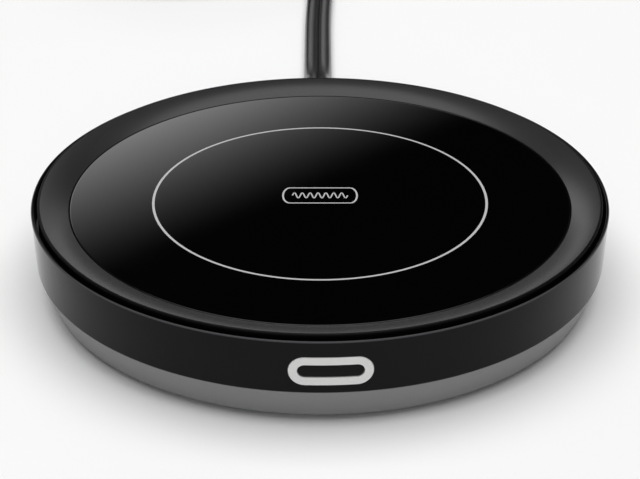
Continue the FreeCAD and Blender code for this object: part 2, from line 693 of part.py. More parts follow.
def make_plate_screws():
    places = around(EAR_CIRCLE, COLLAR_SCREWS, 0)
    length = "plate_screw_depth + carrier_thickness"
    return screws("plate_screws", places, "plate_screw_radius", "plate_head_radius", CARRIER_UNDER,
                  length, "plate_head", -1)


def make_stop_screws():
    places = around(POST_CIRCLE, POSTS, POST_TURN)
    return screws("stop_screws", places, "stop_screw_radius", "stop_head_radius", POST_END,
                  "stop_screw_length", "stop_head", -1)


def clip_screw_places():
    across = "clip_length / 2 - clip_screw_inset"
    return [(f"-({across})", "0"), (across, "0")]


def make_sensor():
    """Temperature sensor under the spreader, the clip that holds it, and a thermal fuse."""
    sensor_length = f"{SPREADER_UNDER} - {PAN_UNDER}"
    sensor = rod("temperature_sensor", "sensor_radius", ("0", "0", PAN_UNDER), sensor_length)
    low = ("-clip_length / 2", "-clip_width / 2", CLIP_UNDER)
    strip = block("clip_strip", low, ("clip_length / 2", "clip_width / 2", PAN_UNDER))
    holes = []
    for index, (across, along) in enumerate(clip_screw_places()):
        start = (across, along, CLIP_UNDER)
        holes.append(hole(f"clip_slot_{index}", "clip_screw_radius", start, "clip_thickness"))
    clip = cut("sensor_clip", strip, joined("clip_slots", holes))
    length = "clip_thickness + carrier_thickness - thread_clearance"
    clip_screws = screws("clip_screws", clip_screw_places(), "clip_screw_radius", "clip_head_radius",
                         CLIP_UNDER, length, "clip_head", -1)
    start = ("-link_length / 2", "-link_offset", f"{SPREADER_UNDER} - link_radius - link_clearance")
    link = rod("thermal_fuse", "link_radius", start, "link_length", "x")
    return [sensor, clip, clip_screws, link]


def make_print():
    """Printed ring and the badge's outline, a thin layer level with the glass."""
    thickness = Vector(0, 0, size("print_thickness"))
    base = Vector(0, 0, value_of(GLASS_TOP)) - thickness
    ring = ring_face(base, size("ring_radius"), size("ring_line")).extrude(thickness)
    half_width = size("badge_width") / 2
    half_depth = size("badge_depth") / 2
    bulge = size("badge_round")
    line = size("badge_line")
    middle = base + Vector(0, size("badge_shift"), 0)
    outer = badge_wire(middle, half_width, half_depth, bulge)
    inner = badge_wire(middle, half_width - line, half_depth - line, bulge - line / 2)
    outline = Part.Face([outer, inner])
    outline.validate()
    return shaped("glass_print", Part.makeCompound([ring, outline.extrude(thickness)]))


def ring_face(base, radius, line):
    outer = Part.Wire(Part.makeCircle(radius + line / 2, base))
    inner = Part.Wire(Part.makeCircle(radius - line / 2, base))
    face = Part.Face([outer, inner])
    face.validate()
    return face


def badge_wire(base, half_width, half_depth, bulge):
    """Two straight sides and two half-ellipse ends."""
    straight = half_width - bulge
    edges = []
    for side in (1, -1):
        centre = base + Vector(side * straight, 0, 0)
        start = centre + Vector(0, -side * half_depth, 0)
        tip = centre + Vector(side * bulge, 0, 0)
        ellipse = Part.Ellipse(start, tip, centre)
        first = ellipse.parameter(start)
        edges.append(Part.ArcOfEllipse(ellipse, first, first + math.pi).toShape())
        end = centre + Vector(0, side * half_depth, 0)
        across = end + Vector(-2 * side * straight, 0, 0)
        edges.append(Part.makeLine(end, across))
    return Part.Wire(Part.__sortEdges__(edges))


def shaped(label, shape):
    """A piece whose shape is worked out here from the sheet's sizes."""
    feature = document.addObject("Part::Feature", label)
    feature.Shape = shape
    feature.Placement = FreeCAD.Placement()
    return feature


# Button, light ring and the switch behind them
def wall_slice(name, inner, proud):
    """The front wall's own curved layer, from a radius out to its face or past it."""
    margin = "window_height"
    low = f"{BUTTON_LEVEL} - {margin}"
    high = f"{BUTTON_LEVEL} + {margin}"
    slope = "wall_draft / wall_height"
    outline = [
        (inner, low),
        (f"{SPLIT_RADIUS} + ({low} - {SPLIT}) * {slope} + ({proud})", low),
        (f"{SPLIT_RADIUS} + ({high} - {SPLIT}) * {slope} + ({proud})", high),
        (inner, high),
    ]
    return turned(name, outline)


def make_light_ring():
    outer = pill("ring_outer", "window_width", "window_height", f"{WINDOW_BACK} - side_wall",
                 "rim_radius + side_wall")
    opening_width = "window_width - 2 * window_stroke"
    opening_height = "window_height - 2 * window_stroke"
    inner = pill("ring_inner", opening_width, opening_height, f"{WINDOW_BACK} - 2 * side_wall",
                 "rim_radius + 2 * side_wall")
    blank = cut("ring_blank", outer, inner)
    return common("light_ring", blank, wall_slice("ring_layer", WINDOW_BACK, "proud_line"))


def make_button():
    face_width = "window_width - 2 * window_stroke - 2 * button_clearance"
    face_height = "window_height - 2 * window_stroke - 2 * button_clearance"
    stem = pill("button_stem", face_width, face_height, FLANGE_FRONT, "rim_radius + side_wall")
    cap = common("button_cap", stem, wall_slice("button_layer", f"{FLANGE_FRONT} - side_wall", "-proud_line"))
    flange_width = "window_width - 2 * window_stroke + 2 * flange_margin"
    flange_height = "window_height - 2 * window_stroke + 2 * flange_margin"
    flange = pill("button_flange", flange_width, flange_height, FLANGE_BACK, FLANGE_FRONT)
    low = ("button_offset - leg_width / 2", f"-{FLANGE_FRONT}", f"{SLIP_TOP} + stack_clearance")
    high = ("button_offset + leg_width / 2", f"-{LEG_BACK}", BUTTON_LEVEL)
    return joined("power_button", [cap, flange, block("button_leg", low, high)])


def slip_screw_places():
    along = f"-({SWITCH_BACK} + slip_head_radius)"
    return [("button_offset - slip_screw_spread", along), ("button_offset + slip_screw_spread", along)]


def make_switch_board():
    low = ("button_offset - slip_length / 2", f"-{SLIP_FRONT}", DECK)
    high = ("button_offset + slip_length / 2", f"-{SWITCH_BACK}", SLIP_TOP)
    slip = block("slip_blank", low, high)
    holes = []
    for index, (across, along) in enumerate(slip_screw_places()):
        start = (across, along, DECK)
        holes.append(hole(f"slip_slot_{index}", "slip_screw_radius", start, "slip_thickness"))
    board = cut("switch_board", slip, joined("slip_slots", holes))
    length = "slip_thickness + deck_thickness - thread_clearance"
    fixings = screws("switch_board_screws", slip_screw_places(), "slip_screw_radius", "slip_head_radius",
                     SLIP_TOP, length, "slip_head", 1)
    low = ("button_offset - switch_width / 2", f"-{SWITCH_FRONT}", SLIP_TOP)
    high = ("button_offset + switch_width / 2", f"-{SWITCH_BACK}", f"{SLIP_TOP} + switch_height")
    body = block("switch_body", low, high)
    low = ("button_offset - plunger_width / 2", f"-{PLUNGER_TIP}", f"{SLIP_TOP} + switch_height / 4")
    high = ("button_offset + plunger_width / 2", f"-{SWITCH_FRONT}", f"{SLIP_TOP} + 3 * switch_height / 4")
    push_switch = joined("push_switch", [body, block("switch_plunger", low, high)])
    lights = []
    for index, sign in enumerate("-+"):
        middle = f"button_offset {sign} led_spread"
        low = (f"{middle} - led_width / 2", f"-{SLIP_FRONT}", SLIP_TOP)
        high = (f"{middle} + led_width / 2", f"-{SLIP_FRONT} + led_depth", f"{SLIP_TOP} + led_height")
        lights.append(block(f"light_{index}", low, high))
    return [board, fixings, push_switch, joined("indicator_leds", lights)]


# Springs round the guide posts
def make_springs():
    """One coil, wound on quarter turns, and its copies round the other posts."""
    wire = size("spring_wire")
    low = value_of(DECK) + wire / 2
    rise = value_of(CARRIER_UNDER) - wire - value_of(DECK)
    radius = size("spring_radius")
    slope = rise / SPRING_TURNS / (2 * math.pi * radius)

    def spring_point(turns):
        angle = 2 * math.pi * turns
        return Vector(radius * math.cos(angle), radius * math.sin(angle), low + rise * turns / SPRING_TURNS)

    def spring_tangent(turns):
        angle = 2 * math.pi * turns
        heading = Vector(-math.sin(angle), math.cos(angle), slope)
        heading.normalize()
        return heading

    edges = []
    for step in range(4 * SPRING_TURNS):
        first = step / 4
        last = (step + 1) / 4
        edges += biarc(spring_point(first), spring_tangent(first), spring_point(last), spring_tangent(last))
    section = Part.Wire(Part.makeCircle(wire / 2, spring_point(0), spring_tangent(0)))
    coil = Part.Wire(edges).makePipeShell([section], True, False)
    circle = value_of(POST_CIRCLE)
    coils = []
    for index in range(POSTS):
        angle = math.radians(POST_TURN + 360 / POSTS * index)
        placed = coil.copy()
        placed.translate(Vector(circle * math.cos(angle), circle * math.sin(angle), 0))
        coils.append(placed)
    return shaped("plate_springs", Part.makeCompound(coils))


# Control board and what it carries
def make_board():
    low = ("-board_width / 2", "-board_front", BOARD_UNDER)
    blank = block("board_blank", low, ("board_width / 2", "board_back", BOARD))
    holes = []
    for index, (across, along) in enumerate(standoff_places()):
        start = (across, along, BOARD_UNDER)
        holes.append(hole(f"board_slot_{index}", "board_screw_radius", start, "board_thickness"))
    board = cut("control_board", blank, joined("board_slots", holes))
    length = "board_thickness + board_screw_depth - thread_clearance"
    fixings = screws("board_screws", standoff_places(), "board_screw_radius", "board_head_radius",
                     BOARD, length, "board_head", 1)
    return [board, fixings]


def make_board_parts():
    parts = []
    low = ("-block_width / 2", "board_back - block_depth", BOARD)
    parts.append(block("terminal_block", low, ("block_width / 2", "board_back", PART_TOP)))
    low = (FILM_CAP_PLACE, "board_back - standoff_inset - standoff_radius - film_cap_depth", BOARD)
    high = (f"{FILM_CAP_PLACE} + film_cap_width", "board_back - standoff_inset - standoff_radius", PART_TOP)
    parts.append(block("filter_capacitor", low, high))
    radius = f"({PART_TOP} - {BOARD}) / 2"
    front = "-(board_front - standoff_inset - standoff_radius)"
    start = (f"-{FUSE_PLACE}", front, f"{BOARD} + {radius}")
    tube = rod("fuse_tube", f"{radius} - fuse_cap_lip", start, "fuse_length", "y")
    first = rod("fuse_cap_front", radius, start, "fuse_cap", "y")
    start = (f"-{FUSE_PLACE}", f"{front} + fuse_length - fuse_cap", f"{BOARD} + {radius}")
    second = rod("fuse_cap_back", radius, start, "fuse_cap", "y")
    parts.append(joined("mains_fuse", [tube, first, second]))
    start = (f"-{CAN_PLACE}", f"-board_front + {radius}", f"{BOARD} + {radius}")
    parts.append(rod("reservoir_capacitor", radius, start, "can_length", "x"))
    low = (f"{POWER_PLACE} - power_width / 2", "-power_front", BOARD)
    high = (f"{POWER_PLACE} + power_width / 2", "-power_front + power_body", f"{BOARD} + power_height")
    body = block("power_body_block", low, high)
    low = (f"{POWER_PLACE} - power_width / 2", "-power_front + power_body", BOARD)
    high = (
        f"{POWER_PLACE} + power_width / 2",
        "-power_front + power_body + power_tab",
        f"{BOARD} + power_tab_thickness",
    )
    parts.append(joined("power_switch", [body, block("power_tab_plate", low, high)]))
    parts.append(make_chip())
    low = (f"-{CAN_PLACE}", "-power_front + power_body", BOARD)
    behind = "-power_front + power_body + micro_depth"
    high = (f"-{CAN_PLACE} + micro_width", behind, f"{PART_TOP} - micro_plunger")
    body = block("micro_body", low, high)
    low = (f"-{CAN_PLACE} + micro_width / 4", "-power_front + power_body", f"{PART_TOP} - micro_plunger")
    high = (f"-{CAN_PLACE} + micro_width / 2", behind, f"{PART_TOP} + headroom - contact_gap")
    parts.append(joined("weight_switch", [body, block("micro_button", low, high)]))
    return parts


def make_chip():
    """A flat control chip with two rows of legs, behind the weight switch."""
    front = "-power_front + power_body + micro_depth + chip_leg * 2"
    left = f"-{CAN_PLACE} + chip_shift"
    high = (f"{left} + chip_length", f"{front} + chip_width", f"{BOARD} + chip_height")
    solids = [block("chip_body", (left, front, BOARD), high)]
    for index in range(CHIP_LEGS):
        middle = f"{left} + chip_length / 2 + ({index} - {(CHIP_LEGS - 1) / 2}) * chip_pitch"
        low = (f"{middle} - chip_leg_width / 2", f"{front} - chip_leg", BOARD)
        high = (
            f"{middle} + chip_leg_width / 2",
            f"{front} + chip_width + chip_leg",
            f"{BOARD} + chip_height / 4",
        )
        solids.append(block(f"chip_leg_{index}", low, high))
    return joined("control_chip", solids)


def make_clamp():
    low = ("-clamp_length / 2", f"{CLAMP_PLACE} - clamp_width / 2", CLAMP_LEVEL)
    high = ("clamp_length / 2", f"{CLAMP_PLACE} + clamp_width / 2", f"{CLAMP_LEVEL} + clamp_thickness")
    bar = block("clamp_bar", low, high)
    holes = []
    for index, (across, along) in enumerate(clamp_places()):
        start = (across, along, CLAMP_LEVEL)
        holes.append(hole(f"clamp_slot_{index}", "clamp_screw_radius", start, "clamp_thickness"))
    clamp = cut("cord_clamp", bar, joined("clamp_slots", holes))
    fixings = screws("clamp_screws", clamp_places(), "clamp_screw_radius", "clamp_head_radius",
                     f"{CLAMP_LEVEL} + clamp_thickness", "clamp_screw_length - thread_clearance",
                     "clamp_head", 1)
    return [clamp, fixings]


# Wires and the flat lead
def routed_wire(points):
    """Straight runs joined by tangent arcs, each as large as its two runs allow."""
    edges = []
    start = points[0]
    for index in range(1, len(points) - 1):
        corner = points[index]
        back = points[index - 1] - corner
        ahead = points[index + 1] - corner
        turn = math.pi - back.getAngle(ahead)
        reach = BEND_SHARE * min(back.Length, ahead.Length)
        radius = reach / math.tan(turn / 2)
        back.normalize()
        ahead.normalize()
        first = corner + back * reach
        last = corner + ahead * reach
        inward = back + ahead
        inward.normalize()
        middle = corner + inward * (radius / math.cos(turn / 2) - radius)
        edges.append(Part.makeLine(start, first))
        edges.append(Part.Arc(first, middle, last).toShape())
        start = last
    edges.append(Part.makeLine(start, points[-1]))
    return Part.Wire(edges)


def wire_along(points, radius):
    """A round wire along a route."""
    path = routed_wire(points)
    direction = points[1] - points[0]
    section = Part.Wire(Part.makeCircle(radius, points[0], direction))
    return path.makePipeShell([section], True, False)


def make_wires():
    sheath = value_of(SHEATH_START)
    block_back = size("board_back")
    level = size("cord_height")
    radius = size("lead_radius")
    middle = (value_of(BOARD) + value_of(PART_TOP)) / 2
    apart = size("cord_width") / 2 - size("cord_lobe")
    solids = []
    for side in (-1, 1):
        span = sheath - block_back
        points = [
            Vector(side * apart, sheath, level),
            Vector(side * apart, sheath - span * END_SHARE, level),
            Vector(side * size("block_width") / 4, block_back + span * END_SHARE, middle),
            Vector(side * size("block_width") / 4, block_back, middle),
        ]
        solids.append(wire_along(points, radius))
    mains = shaped("mains_leads", Part.makeCompound(solids))
    solids = []
    board = value_of(BOARD)
    deck = value_of(DECK)
    gap = size("contact_gap")
    thin = size("signal_lead_radius")
    back = value_of(SWITCH_BACK)
    front = size("board_front")
    opening = value_of(DECK_OPENING)
    slope = opening - front
    for index in range(SIGNAL_LEADS):
        across = (index - (SIGNAL_LEADS - 1) / 2) * size("signal_pitch") + size("button_offset")
        points = [
            Vector(across, -front + size("signal_landing"), board + thin + gap),
            Vector(across, -front - slope * END_SHARE, board + thin + gap),
            Vector(across, -front - slope * RISE_SHARE, deck + thin + gap),
            Vector(across, -back, deck + thin + gap),
        ]
        solids.append(wire_along(points, thin))
    signal = shaped("switch_leads", Part.makeCompound(solids))
    return [mains, signal]


def make_plate_leads():
    """Heater and sensor leads, from the opening under the spreader to the board."""
    top = value_of(SPREADER_UNDER) - size("contact_gap")
    solids = []
    spread = size("heater_lead_spread")
    block_front = size("board_back") - size("block_depth")
    middle = (value_of(BOARD) + value_of(PART_TOP)) / 2
    start = size("clip_width") / 2 + size("heater_lead_radius") + size("stack_clearance")
    for side in (-1, 1):
        points = [
            Vector(side * spread, start, top),
            Vector(side * spread, start, middle),
            Vector(side * spread, block_front, middle),
        ]
        solids.append(wire_along(points, size("heater_lead_radius")))
    board = value_of(BOARD)
    thin = size("sensor_lead_radius")
    beside = size("clip_width") / 2 + thin + size("stack_clearance")
    for side in (-1, 1):
        foot = Vector(side * spread * 2, beside, board)
        solids.append(Part.makeCylinder(thin, top - board, foot))
    return shaped("plate_leads", Part.makeCompound(solids))


def cord_section(centre, direction, roll):
    """The flat lead's outline: two round halves side by side, joined at the waist."""
    along = Vector(direction)
    along.normalize()
    side = along.cross(Vector(0, 0, 1))
    side.normalize()
    upward = side.cross(along)
    wide = side * math.cos(roll) + upward * math.sin(roll)
    thin = upward * math.cos(roll) - side * math.sin(roll)
    lobe = size("cord_lobe")
    reach = size("cord_width") / 2
    offset = reach - lobe
    waist = math.sqrt(lobe * lobe - offset * offset)
    half = math.atan2(waist, -offset) / 2
    edges = []
    for sign in (1, -1):
        heart = centre + wide * (sign * offset)
        tip = centre + wide * (sign * reach)
        for rise in (1, -1):
            bend = wide * (sign * lobe * math.cos(half)) + thin * (sign * rise * lobe * math.sin(half))
            start = centre + thin * (sign * rise * waist)
            ends = (start, heart + bend, tip) if rise > 0 else (tip, heart + bend, start)
            edges.append(Part.Arc(*ends).toShape())
    return Part.Wire(edges)


def section_area():
    return Part.Face(cord_section(Vector(0, 0, 0), Vector(0, 1, 0), 0)).Area


def smooth(fraction):
    """A gentle rise from 0 to 1."""
    return fraction * fraction * (3 - 2 * fraction)


def lofted_cord(stations):
    """The lead through turned sections: (centre, direction, roll)."""
    wires = [cord_section(*station) for station in stations]
    return Part.makeLoft(wires, True, False)


def twist_stations(steps):
    """The quarter twist that stands the lead on edge before the coil."""
    start = size("twist_start")
    length = size("twist_length")
    stations = []
    for index in range(steps + 1):
        fraction = index / steps
        roll = math.pi / 2 * smooth(fraction)
        stations.append((Vector(0, start + length * fraction, lying_height(roll)), Vector(0, 1, 0), roll))
    return stations


def lying_height(roll):
    """The lead's middle above the table when it is rolled by an angle."""
    offset = size("cord_width") / 2 - size("cord_lobe")
    return size("cord_lobe") + offset * math.sin(roll)


def make_cord_lead():
    start = Vector(0, value_of(SHEATH_START), size("cord_height"))
    relief_end = value_of(SPLIT_RADIUS) + size("relief_length")
    begin = Vector(0, relief_end, size("cord_height"))
    finish = Vector(0, relief_end + size("drop_length"), lying_height(0))
    path = gentle_drop(start, begin, finish, Vector(0, size("twist_start"), lying_height(0)))
    tube = path.makePipeShell([cord_section(start, Vector(0, 1, 0), 0)], True, False)
    twist = lofted_cord(twist_stations(TWIST_STEPS))
    on_edge = size("cord_width") / 2
    end = size("coil_place") - size("cord_width")
    last = Vector(0, size("twist_start") + size("twist_length"), on_edge)
    run = Part.Face(cord_section(last, Vector(0, 1, 0), math.pi / 2)).extrude(Vector(0, end - last.y, 0))
    whole = tube.fuse([twist, run]).removeSplitter()
    length = path.Length + size("twist_length") + end - last.y
    report_volume("cord_lead", whole, length)
    return shaped("cord_lead", whole), length


def gentle_drop(start, begin, finish, end):
    """Level, two opposite tangent arcs down to the table, and level again."""
    drop = finish.y - begin.y
    fall = begin.z - finish.z
    radius = (drop * drop + fall * fall) / (4 * fall)
    middle = (begin + finish) * 0.5
    half_turn = math.asin(drop / 2 / radius) / 2
    dip = Vector(0, begin.y + radius * math.sin(half_turn), begin.z - radius * (1 - math.cos(half_turn)))
    lift = Vector(0, finish.y - radius * math.sin(half_turn), finish.z + radius * (1 - math.cos(half_turn)))
    print(f"cord_lead: bend radius {radius:.1f} mm where it comes down to the table")
    edges = [
        Part.makeLine(start, begin),
        Part.Arc(begin, dip, middle).toShape(),
        Part.Arc(middle, lift, finish).toShape(),
        Part.makeLine(finish, end),
    ]
    return Part.Wire(edges)


def report_volume(label, solid, length):
    """Compare a swept solid with its section times its length."""
    expected = section_area() * length
    print(f"{label}: length {length:.0f} mm, volume {solid.Volume:.0f}, expected {expected:.0f} mm3")


def coil_point(turns):
    """The coil's middle line: in on the lower layer, out again on the upper one."""
    outer = size("coil_radius")
    inward = min(turns, COIL_TURNS - turns)
    radius = outer - size("coil_pitch") * inward
    low = size("cord_width") / 2
    rise = size("cord_width") + size("layer_gap")
    climb = min(max((turns - COIL_TURNS / 2) / CLIMB_TURNS + 0.5, 0), 1)
    angle = 2 * math.pi * turns
    centre = Vector(-outer, size("coil_place"), 0)
    return centre + Vector(radius * math.cos(angle), radius * math.sin(angle), low + rise * smooth(climb))


def coil_tangent(turns):
    if turns < SMALL_TURN or turns > COIL_TURNS - SMALL_TURN:
        return Vector(0, 1, 0)
    chord = coil_point(turns + SMALL_TURN) - coil_point(turns - SMALL_TURN)
    chord.normalize()
    return chord


def tangent_arc(start, direction, end):
    """The arc that leaves start along direction and ends at end."""
    chord = end - start
    length = chord.Length
    chord.normalize()
    across = direction - chord * direction.dot(chord)
    if across.Length < STRAIGHT:
        return Part.makeLine(start, end)
    angle = direction.getAngle(chord)
    across.normalize()
    middle = (start + end) * 0.5 + across * (length / 2 * math.tan(angle / 2))
    return Part.Arc(start, middle, end).toShape()


def biarc(start, first, end, last):
    """Two tangent arcs between two points with given directions."""
    span = end - start
    both = first + last
    spread = 2 * (1 - first.dot(last))
    reach = (math.sqrt(span.dot(both) ** 2 + spread * span.dot(span)) - span.dot(both)) / spread
    join = (start + end + (first - last) * reach) * 0.5
    back = tangent_arc(end, last * -1, join)
    middle = back.valueAt((back.FirstParameter + back.LastParameter) / 2)
    return [tangent_arc(start, first, join), Part.Arc(join, middle, end).toShape()]


def make_cord_coil():
    straight = size("cord_width")
    begin = coil_point(0) - Vector(0, straight, 0)
    edges = [Part.makeLine(begin, coil_point(0))]
    steps = COIL_TURNS * COIL_STEPS
    marks = [COIL_TURNS * index / steps for index in range(steps + 1)]
    for first, last in zip(marks, marks[1:]):
        edges += biarc(coil_point(first), coil_tangent(first), coil_point(last), coil_tangent(last))
    finish = coil_point(COIL_TURNS) + Vector(0, straight, 0)
    edges.append(Part.makeLine(coil_point(COIL_TURNS), finish))
    path = Part.Wire(edges)
    tube = path.makePipeShell([cord_section(begin, Vector(0, 1, 0), math.pi / 2)], True, False)
    report_volume("cord_coil", tube, path.Length)
    print(f"cord_coil: least gap to itself {coil_gap():.2f} mm")
    return shaped("cord_coil", tube), path.Length, finish


def coil_gap():
    """The least gap between the halves of the lead in different turns, on points."""
    offset = size("cord_width") / 2 - size("cord_lobe")
    points = [coil_point(index / GAP_STEPS) for index in range(COIL_TURNS * GAP_STEPS + 1)]
    least = size("coil_radius")
    for index, point in enumerate(points):
        for other in points[index + GAP_STEPS // 2:]:
            flat = math.hypot(point.x - other.x, point.y - other.y)
            for drop in (-2 * offset, 0, 2 * offset):
                least = min(least, math.hypot(flat, point.z - other.z + drop))
    return least - 2 * size("cord_lobe")


def tail_level(start_level, roll, fraction):
    """Down from the coil to the table by half way, then up to the plug's middle."""
    table = lying_height(roll) + size("contact_gap")
    if fraction < 0.5:
        return start_level + (table - start_level) * smooth(2 * fraction)
    return table + (size("plug_height") / 2 - table) * smooth(2 * fraction - 1)


def make_cord_tail(start):
    """From the coil's last turn down to the table and up again to the plug."""
    radius = size("tail_radius")
    stations = []
    for index in range(TAIL_STEPS + 1):
        fraction = index / TAIL_STEPS
        angle = math.pi / 2 * fraction
        roll = math.pi / 2 * (1 - smooth(fraction))
        level = tail_level(start.z, roll, fraction)
        place = Vector(radius * (math.cos(angle) - 1), start.y + radius * math.sin(angle), level)
        direction = Vector(-math.sin(angle), math.cos(angle), 0)
        stations.append((place, direction, roll))
    solid = lofted_cord(stations)
    length = math.pi / 2 * radius
    report_volume("cord_tail", solid, length)
    return shaped("cord_tail", solid), length, stations[-1][0]


def stadium(centre, width, height, across, upward):
    """A flat-sided outline with round ends."""
    straight = width / 2 - height / 2
    edges = []
    for side in (1, -1):
        heart = centre + across * (side * straight)
        low = heart - upward * (side * height / 2)
        high = heart + upward * (side * height / 2)
        tip = heart + across * (side * height / 2)
        edges.append(Part.Arc(low, tip, high).toShape())
        edges.append(Part.makeLine(high, high - across * (2 * side * straight)))
    return Part.Wire(edges)


def make_strain_relief():
    """Inner flange, neck in the wall notch and a tapered tail, bored for the lead."""
    level = size("cord_height")
    inner = value_of(RELIEF_INNER)
    step = value_of(RELIEF_STEP)
    wall = value_of(SPLIT_RADIUS)
    across = Vector(1, 0, 0)
    upward = Vector(0, 0, 1)
    flange_height = 2 * (level - value_of(FLOOR)) + size("relief_clearance")
    flange_low = value_of(FLOOR) + size("contact_gap")
    flange = Part.makeBox(size("relief_flange_width"), step - inner, flange_height,
                          Vector(-size("relief_flange_width") / 2, inner, flange_low))
    neck_wire = stadium(Vector(0, step, level), size("neck_width"), size("neck_height"), across, upward)
    neck = Part.Face(neck_wire).extrude(Vector(0, wall - step, 0))
    root = stadium(Vector(0, wall, level), size("neck_width"), size("neck_height"), across, upward)
    tip_centre = Vector(0, wall + size("relief_length"), level)
    tip = stadium(tip_centre, size("relief_end_width"), size("relief_end_height"), across, upward)
    tail = Part.makeLoft([root, tip], True, True)
    body = flange.fuse([neck, tail]).removeSplitter()
    margin = size("relief_flange")
    bore_face = Part.Face(cord_section(Vector(0, inner - margin, level), Vector(0, 1, 0), 0))
    bore = bore_face.extrude(Vector(0, tip_centre.y - inner + 2 * margin, 0))
    return shaped("strain_relief", body.cut(bore))


def make_plug(place):
    """Moulded two-blade plug, lying flat with its cord neck towards the tail."""
    neck = size("plug_neck")
    across = Vector(0, 1, 0)
    upward = Vector(0, 0, 1)
    wires = []
    for offset, width, height in (
        (0, size("cord_width") + 2 * size("neck_wall"), 2 * (size("cord_lobe") + size("neck_wall"))),
        (neck, size("grip_width"), size("grip_height")),
    ):
        wires.append(stadium(place - Vector(offset, 0, 0), width, height, across, upward))
    grip = Part.makeLoft(wires, True, True)
    shell = Part.makeBox(size("plug_length"), size("plug_width"), size("plug_height"),
                         Vector(place.x - neck - size("plug_length"), place.y - size("plug_width") / 2, 0))
    long_edges = [edge for edge in shell.Edges if near(edge.Length, size("plug_length"))]
    shell = shell.makeFillet(size("plug_round"), long_edges)
    body = grip.fuse(shell).removeSplitter()
    face = place.x - neck - size("plug_length")
    blades = []
    for side in (-1, 1):
        low = Vector(face - size("blade_length"),
                     place.y + side * size("blade_spacing") / 2 - size("blade_thickness") / 2,
                     place.z - size("blade_width") / 2)
        length = size("blade_length") + size("blade_root")
        blades.append(Part.makeBox(length, size("blade_thickness"), size("blade_width"), low))
    pair = Part.makeCompound(blades)
    return [shaped("plug_body", body.cut(pair)), shaped("plug_blades", pair)]


def make_cord():
    lead, lead_length = make_cord_lead()
    coil, coil_length, finish = make_cord_coil()
    tail, tail_length, place = make_cord_tail(finish)
    inside = value_of(SPLIT_RADIUS) - value_of(SHEATH_START)
    total = lead_length + coil_length + tail_length
    print(f"flat lead: {total:.0f} mm in all, {total - inside:.0f} mm outside the wall")
    return [lead, coil, tail] + make_plug(place)


glass_print = make_print()
pieces = [
    make_lower_base(),
    make_upper_housing(),
    make_feet(),
    make_case_screws(),
    make_glass(glass_print),
    glass_print,
    make_collar(),
    make_carrier(),
    make_plate_screws(),
    make_stop_screws(),
    make_light_ring(),
    make_button(),
    make_springs(),
    make_plate_leads(),
    make_strain_relief(),
]
pieces += make_heater_stack()
pieces += make_sensor()
pieces += make_switch_board()
pieces += make_board()
pieces += make_board_parts()
pieces += make_clamp()
pieces += make_wires()
pieces += make_cord()
document.recompute()

for item in document.Objects:
    if "Invalid" in item.State or "Error" in item.State:
        raise RuntimeError(f"{item.Label} failed: {item.State}")
os.makedirs("parts", exist_ok=True)
for piece in pieces:
    if piece.Shape.isNull() or not piece.Shape.isValid():
        raise RuntimeError(f"{piece.Label} has no valid shape")
    piece.Shape.exportStep(os.path.join("parts", f"{piece.Label}.step"))
    bounds = piece.Shape.BoundBox
    solids = len(piece.Shape.Solids)
    print(f"{piece.Label}: {solids} solids, z {bounds.ZMin:.2f} to {bounds.ZMax:.2f}")
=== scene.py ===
"""Electric mug warmer, dressed for the camera.

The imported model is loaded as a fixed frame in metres: +Z up, the origin on the
table under the centre of the round body, the button towards -Y and the flat
lead towards +Y. The file is laid out as an add-on: sizes and colours are
properties, and every piece or group of like pieces has its own operator.
"""
import bmesh
import bpy
import json
import math
from bpy.props import FloatProperty, FloatVectorProperty, IntProperty, PointerProperty
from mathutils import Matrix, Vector


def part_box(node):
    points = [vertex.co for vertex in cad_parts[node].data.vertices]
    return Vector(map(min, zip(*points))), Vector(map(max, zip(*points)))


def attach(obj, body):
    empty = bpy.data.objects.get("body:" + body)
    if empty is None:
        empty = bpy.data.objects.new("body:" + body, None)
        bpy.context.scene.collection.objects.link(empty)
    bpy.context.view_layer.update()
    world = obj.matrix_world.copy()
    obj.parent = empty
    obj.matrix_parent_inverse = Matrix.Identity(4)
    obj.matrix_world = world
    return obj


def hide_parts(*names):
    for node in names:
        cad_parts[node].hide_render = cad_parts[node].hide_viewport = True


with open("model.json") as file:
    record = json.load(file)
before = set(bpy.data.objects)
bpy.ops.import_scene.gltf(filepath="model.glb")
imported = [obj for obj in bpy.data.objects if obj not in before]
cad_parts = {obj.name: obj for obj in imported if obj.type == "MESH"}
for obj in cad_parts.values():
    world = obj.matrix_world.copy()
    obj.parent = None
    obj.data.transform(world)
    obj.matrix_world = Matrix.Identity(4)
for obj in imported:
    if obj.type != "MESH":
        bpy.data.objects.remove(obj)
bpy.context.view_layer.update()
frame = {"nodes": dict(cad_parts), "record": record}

bl_info = {
    "name": "Electric mug warmer",
    "version": (1, 0, 0),
    "blender": (4, 5, 0),
    "location": "View3D > Sidebar > Mug Warmer",
    "description": "Shapes and finishes of a round electric mug warmer",
    "category": "Add Mesh",
}

MM = 0.001

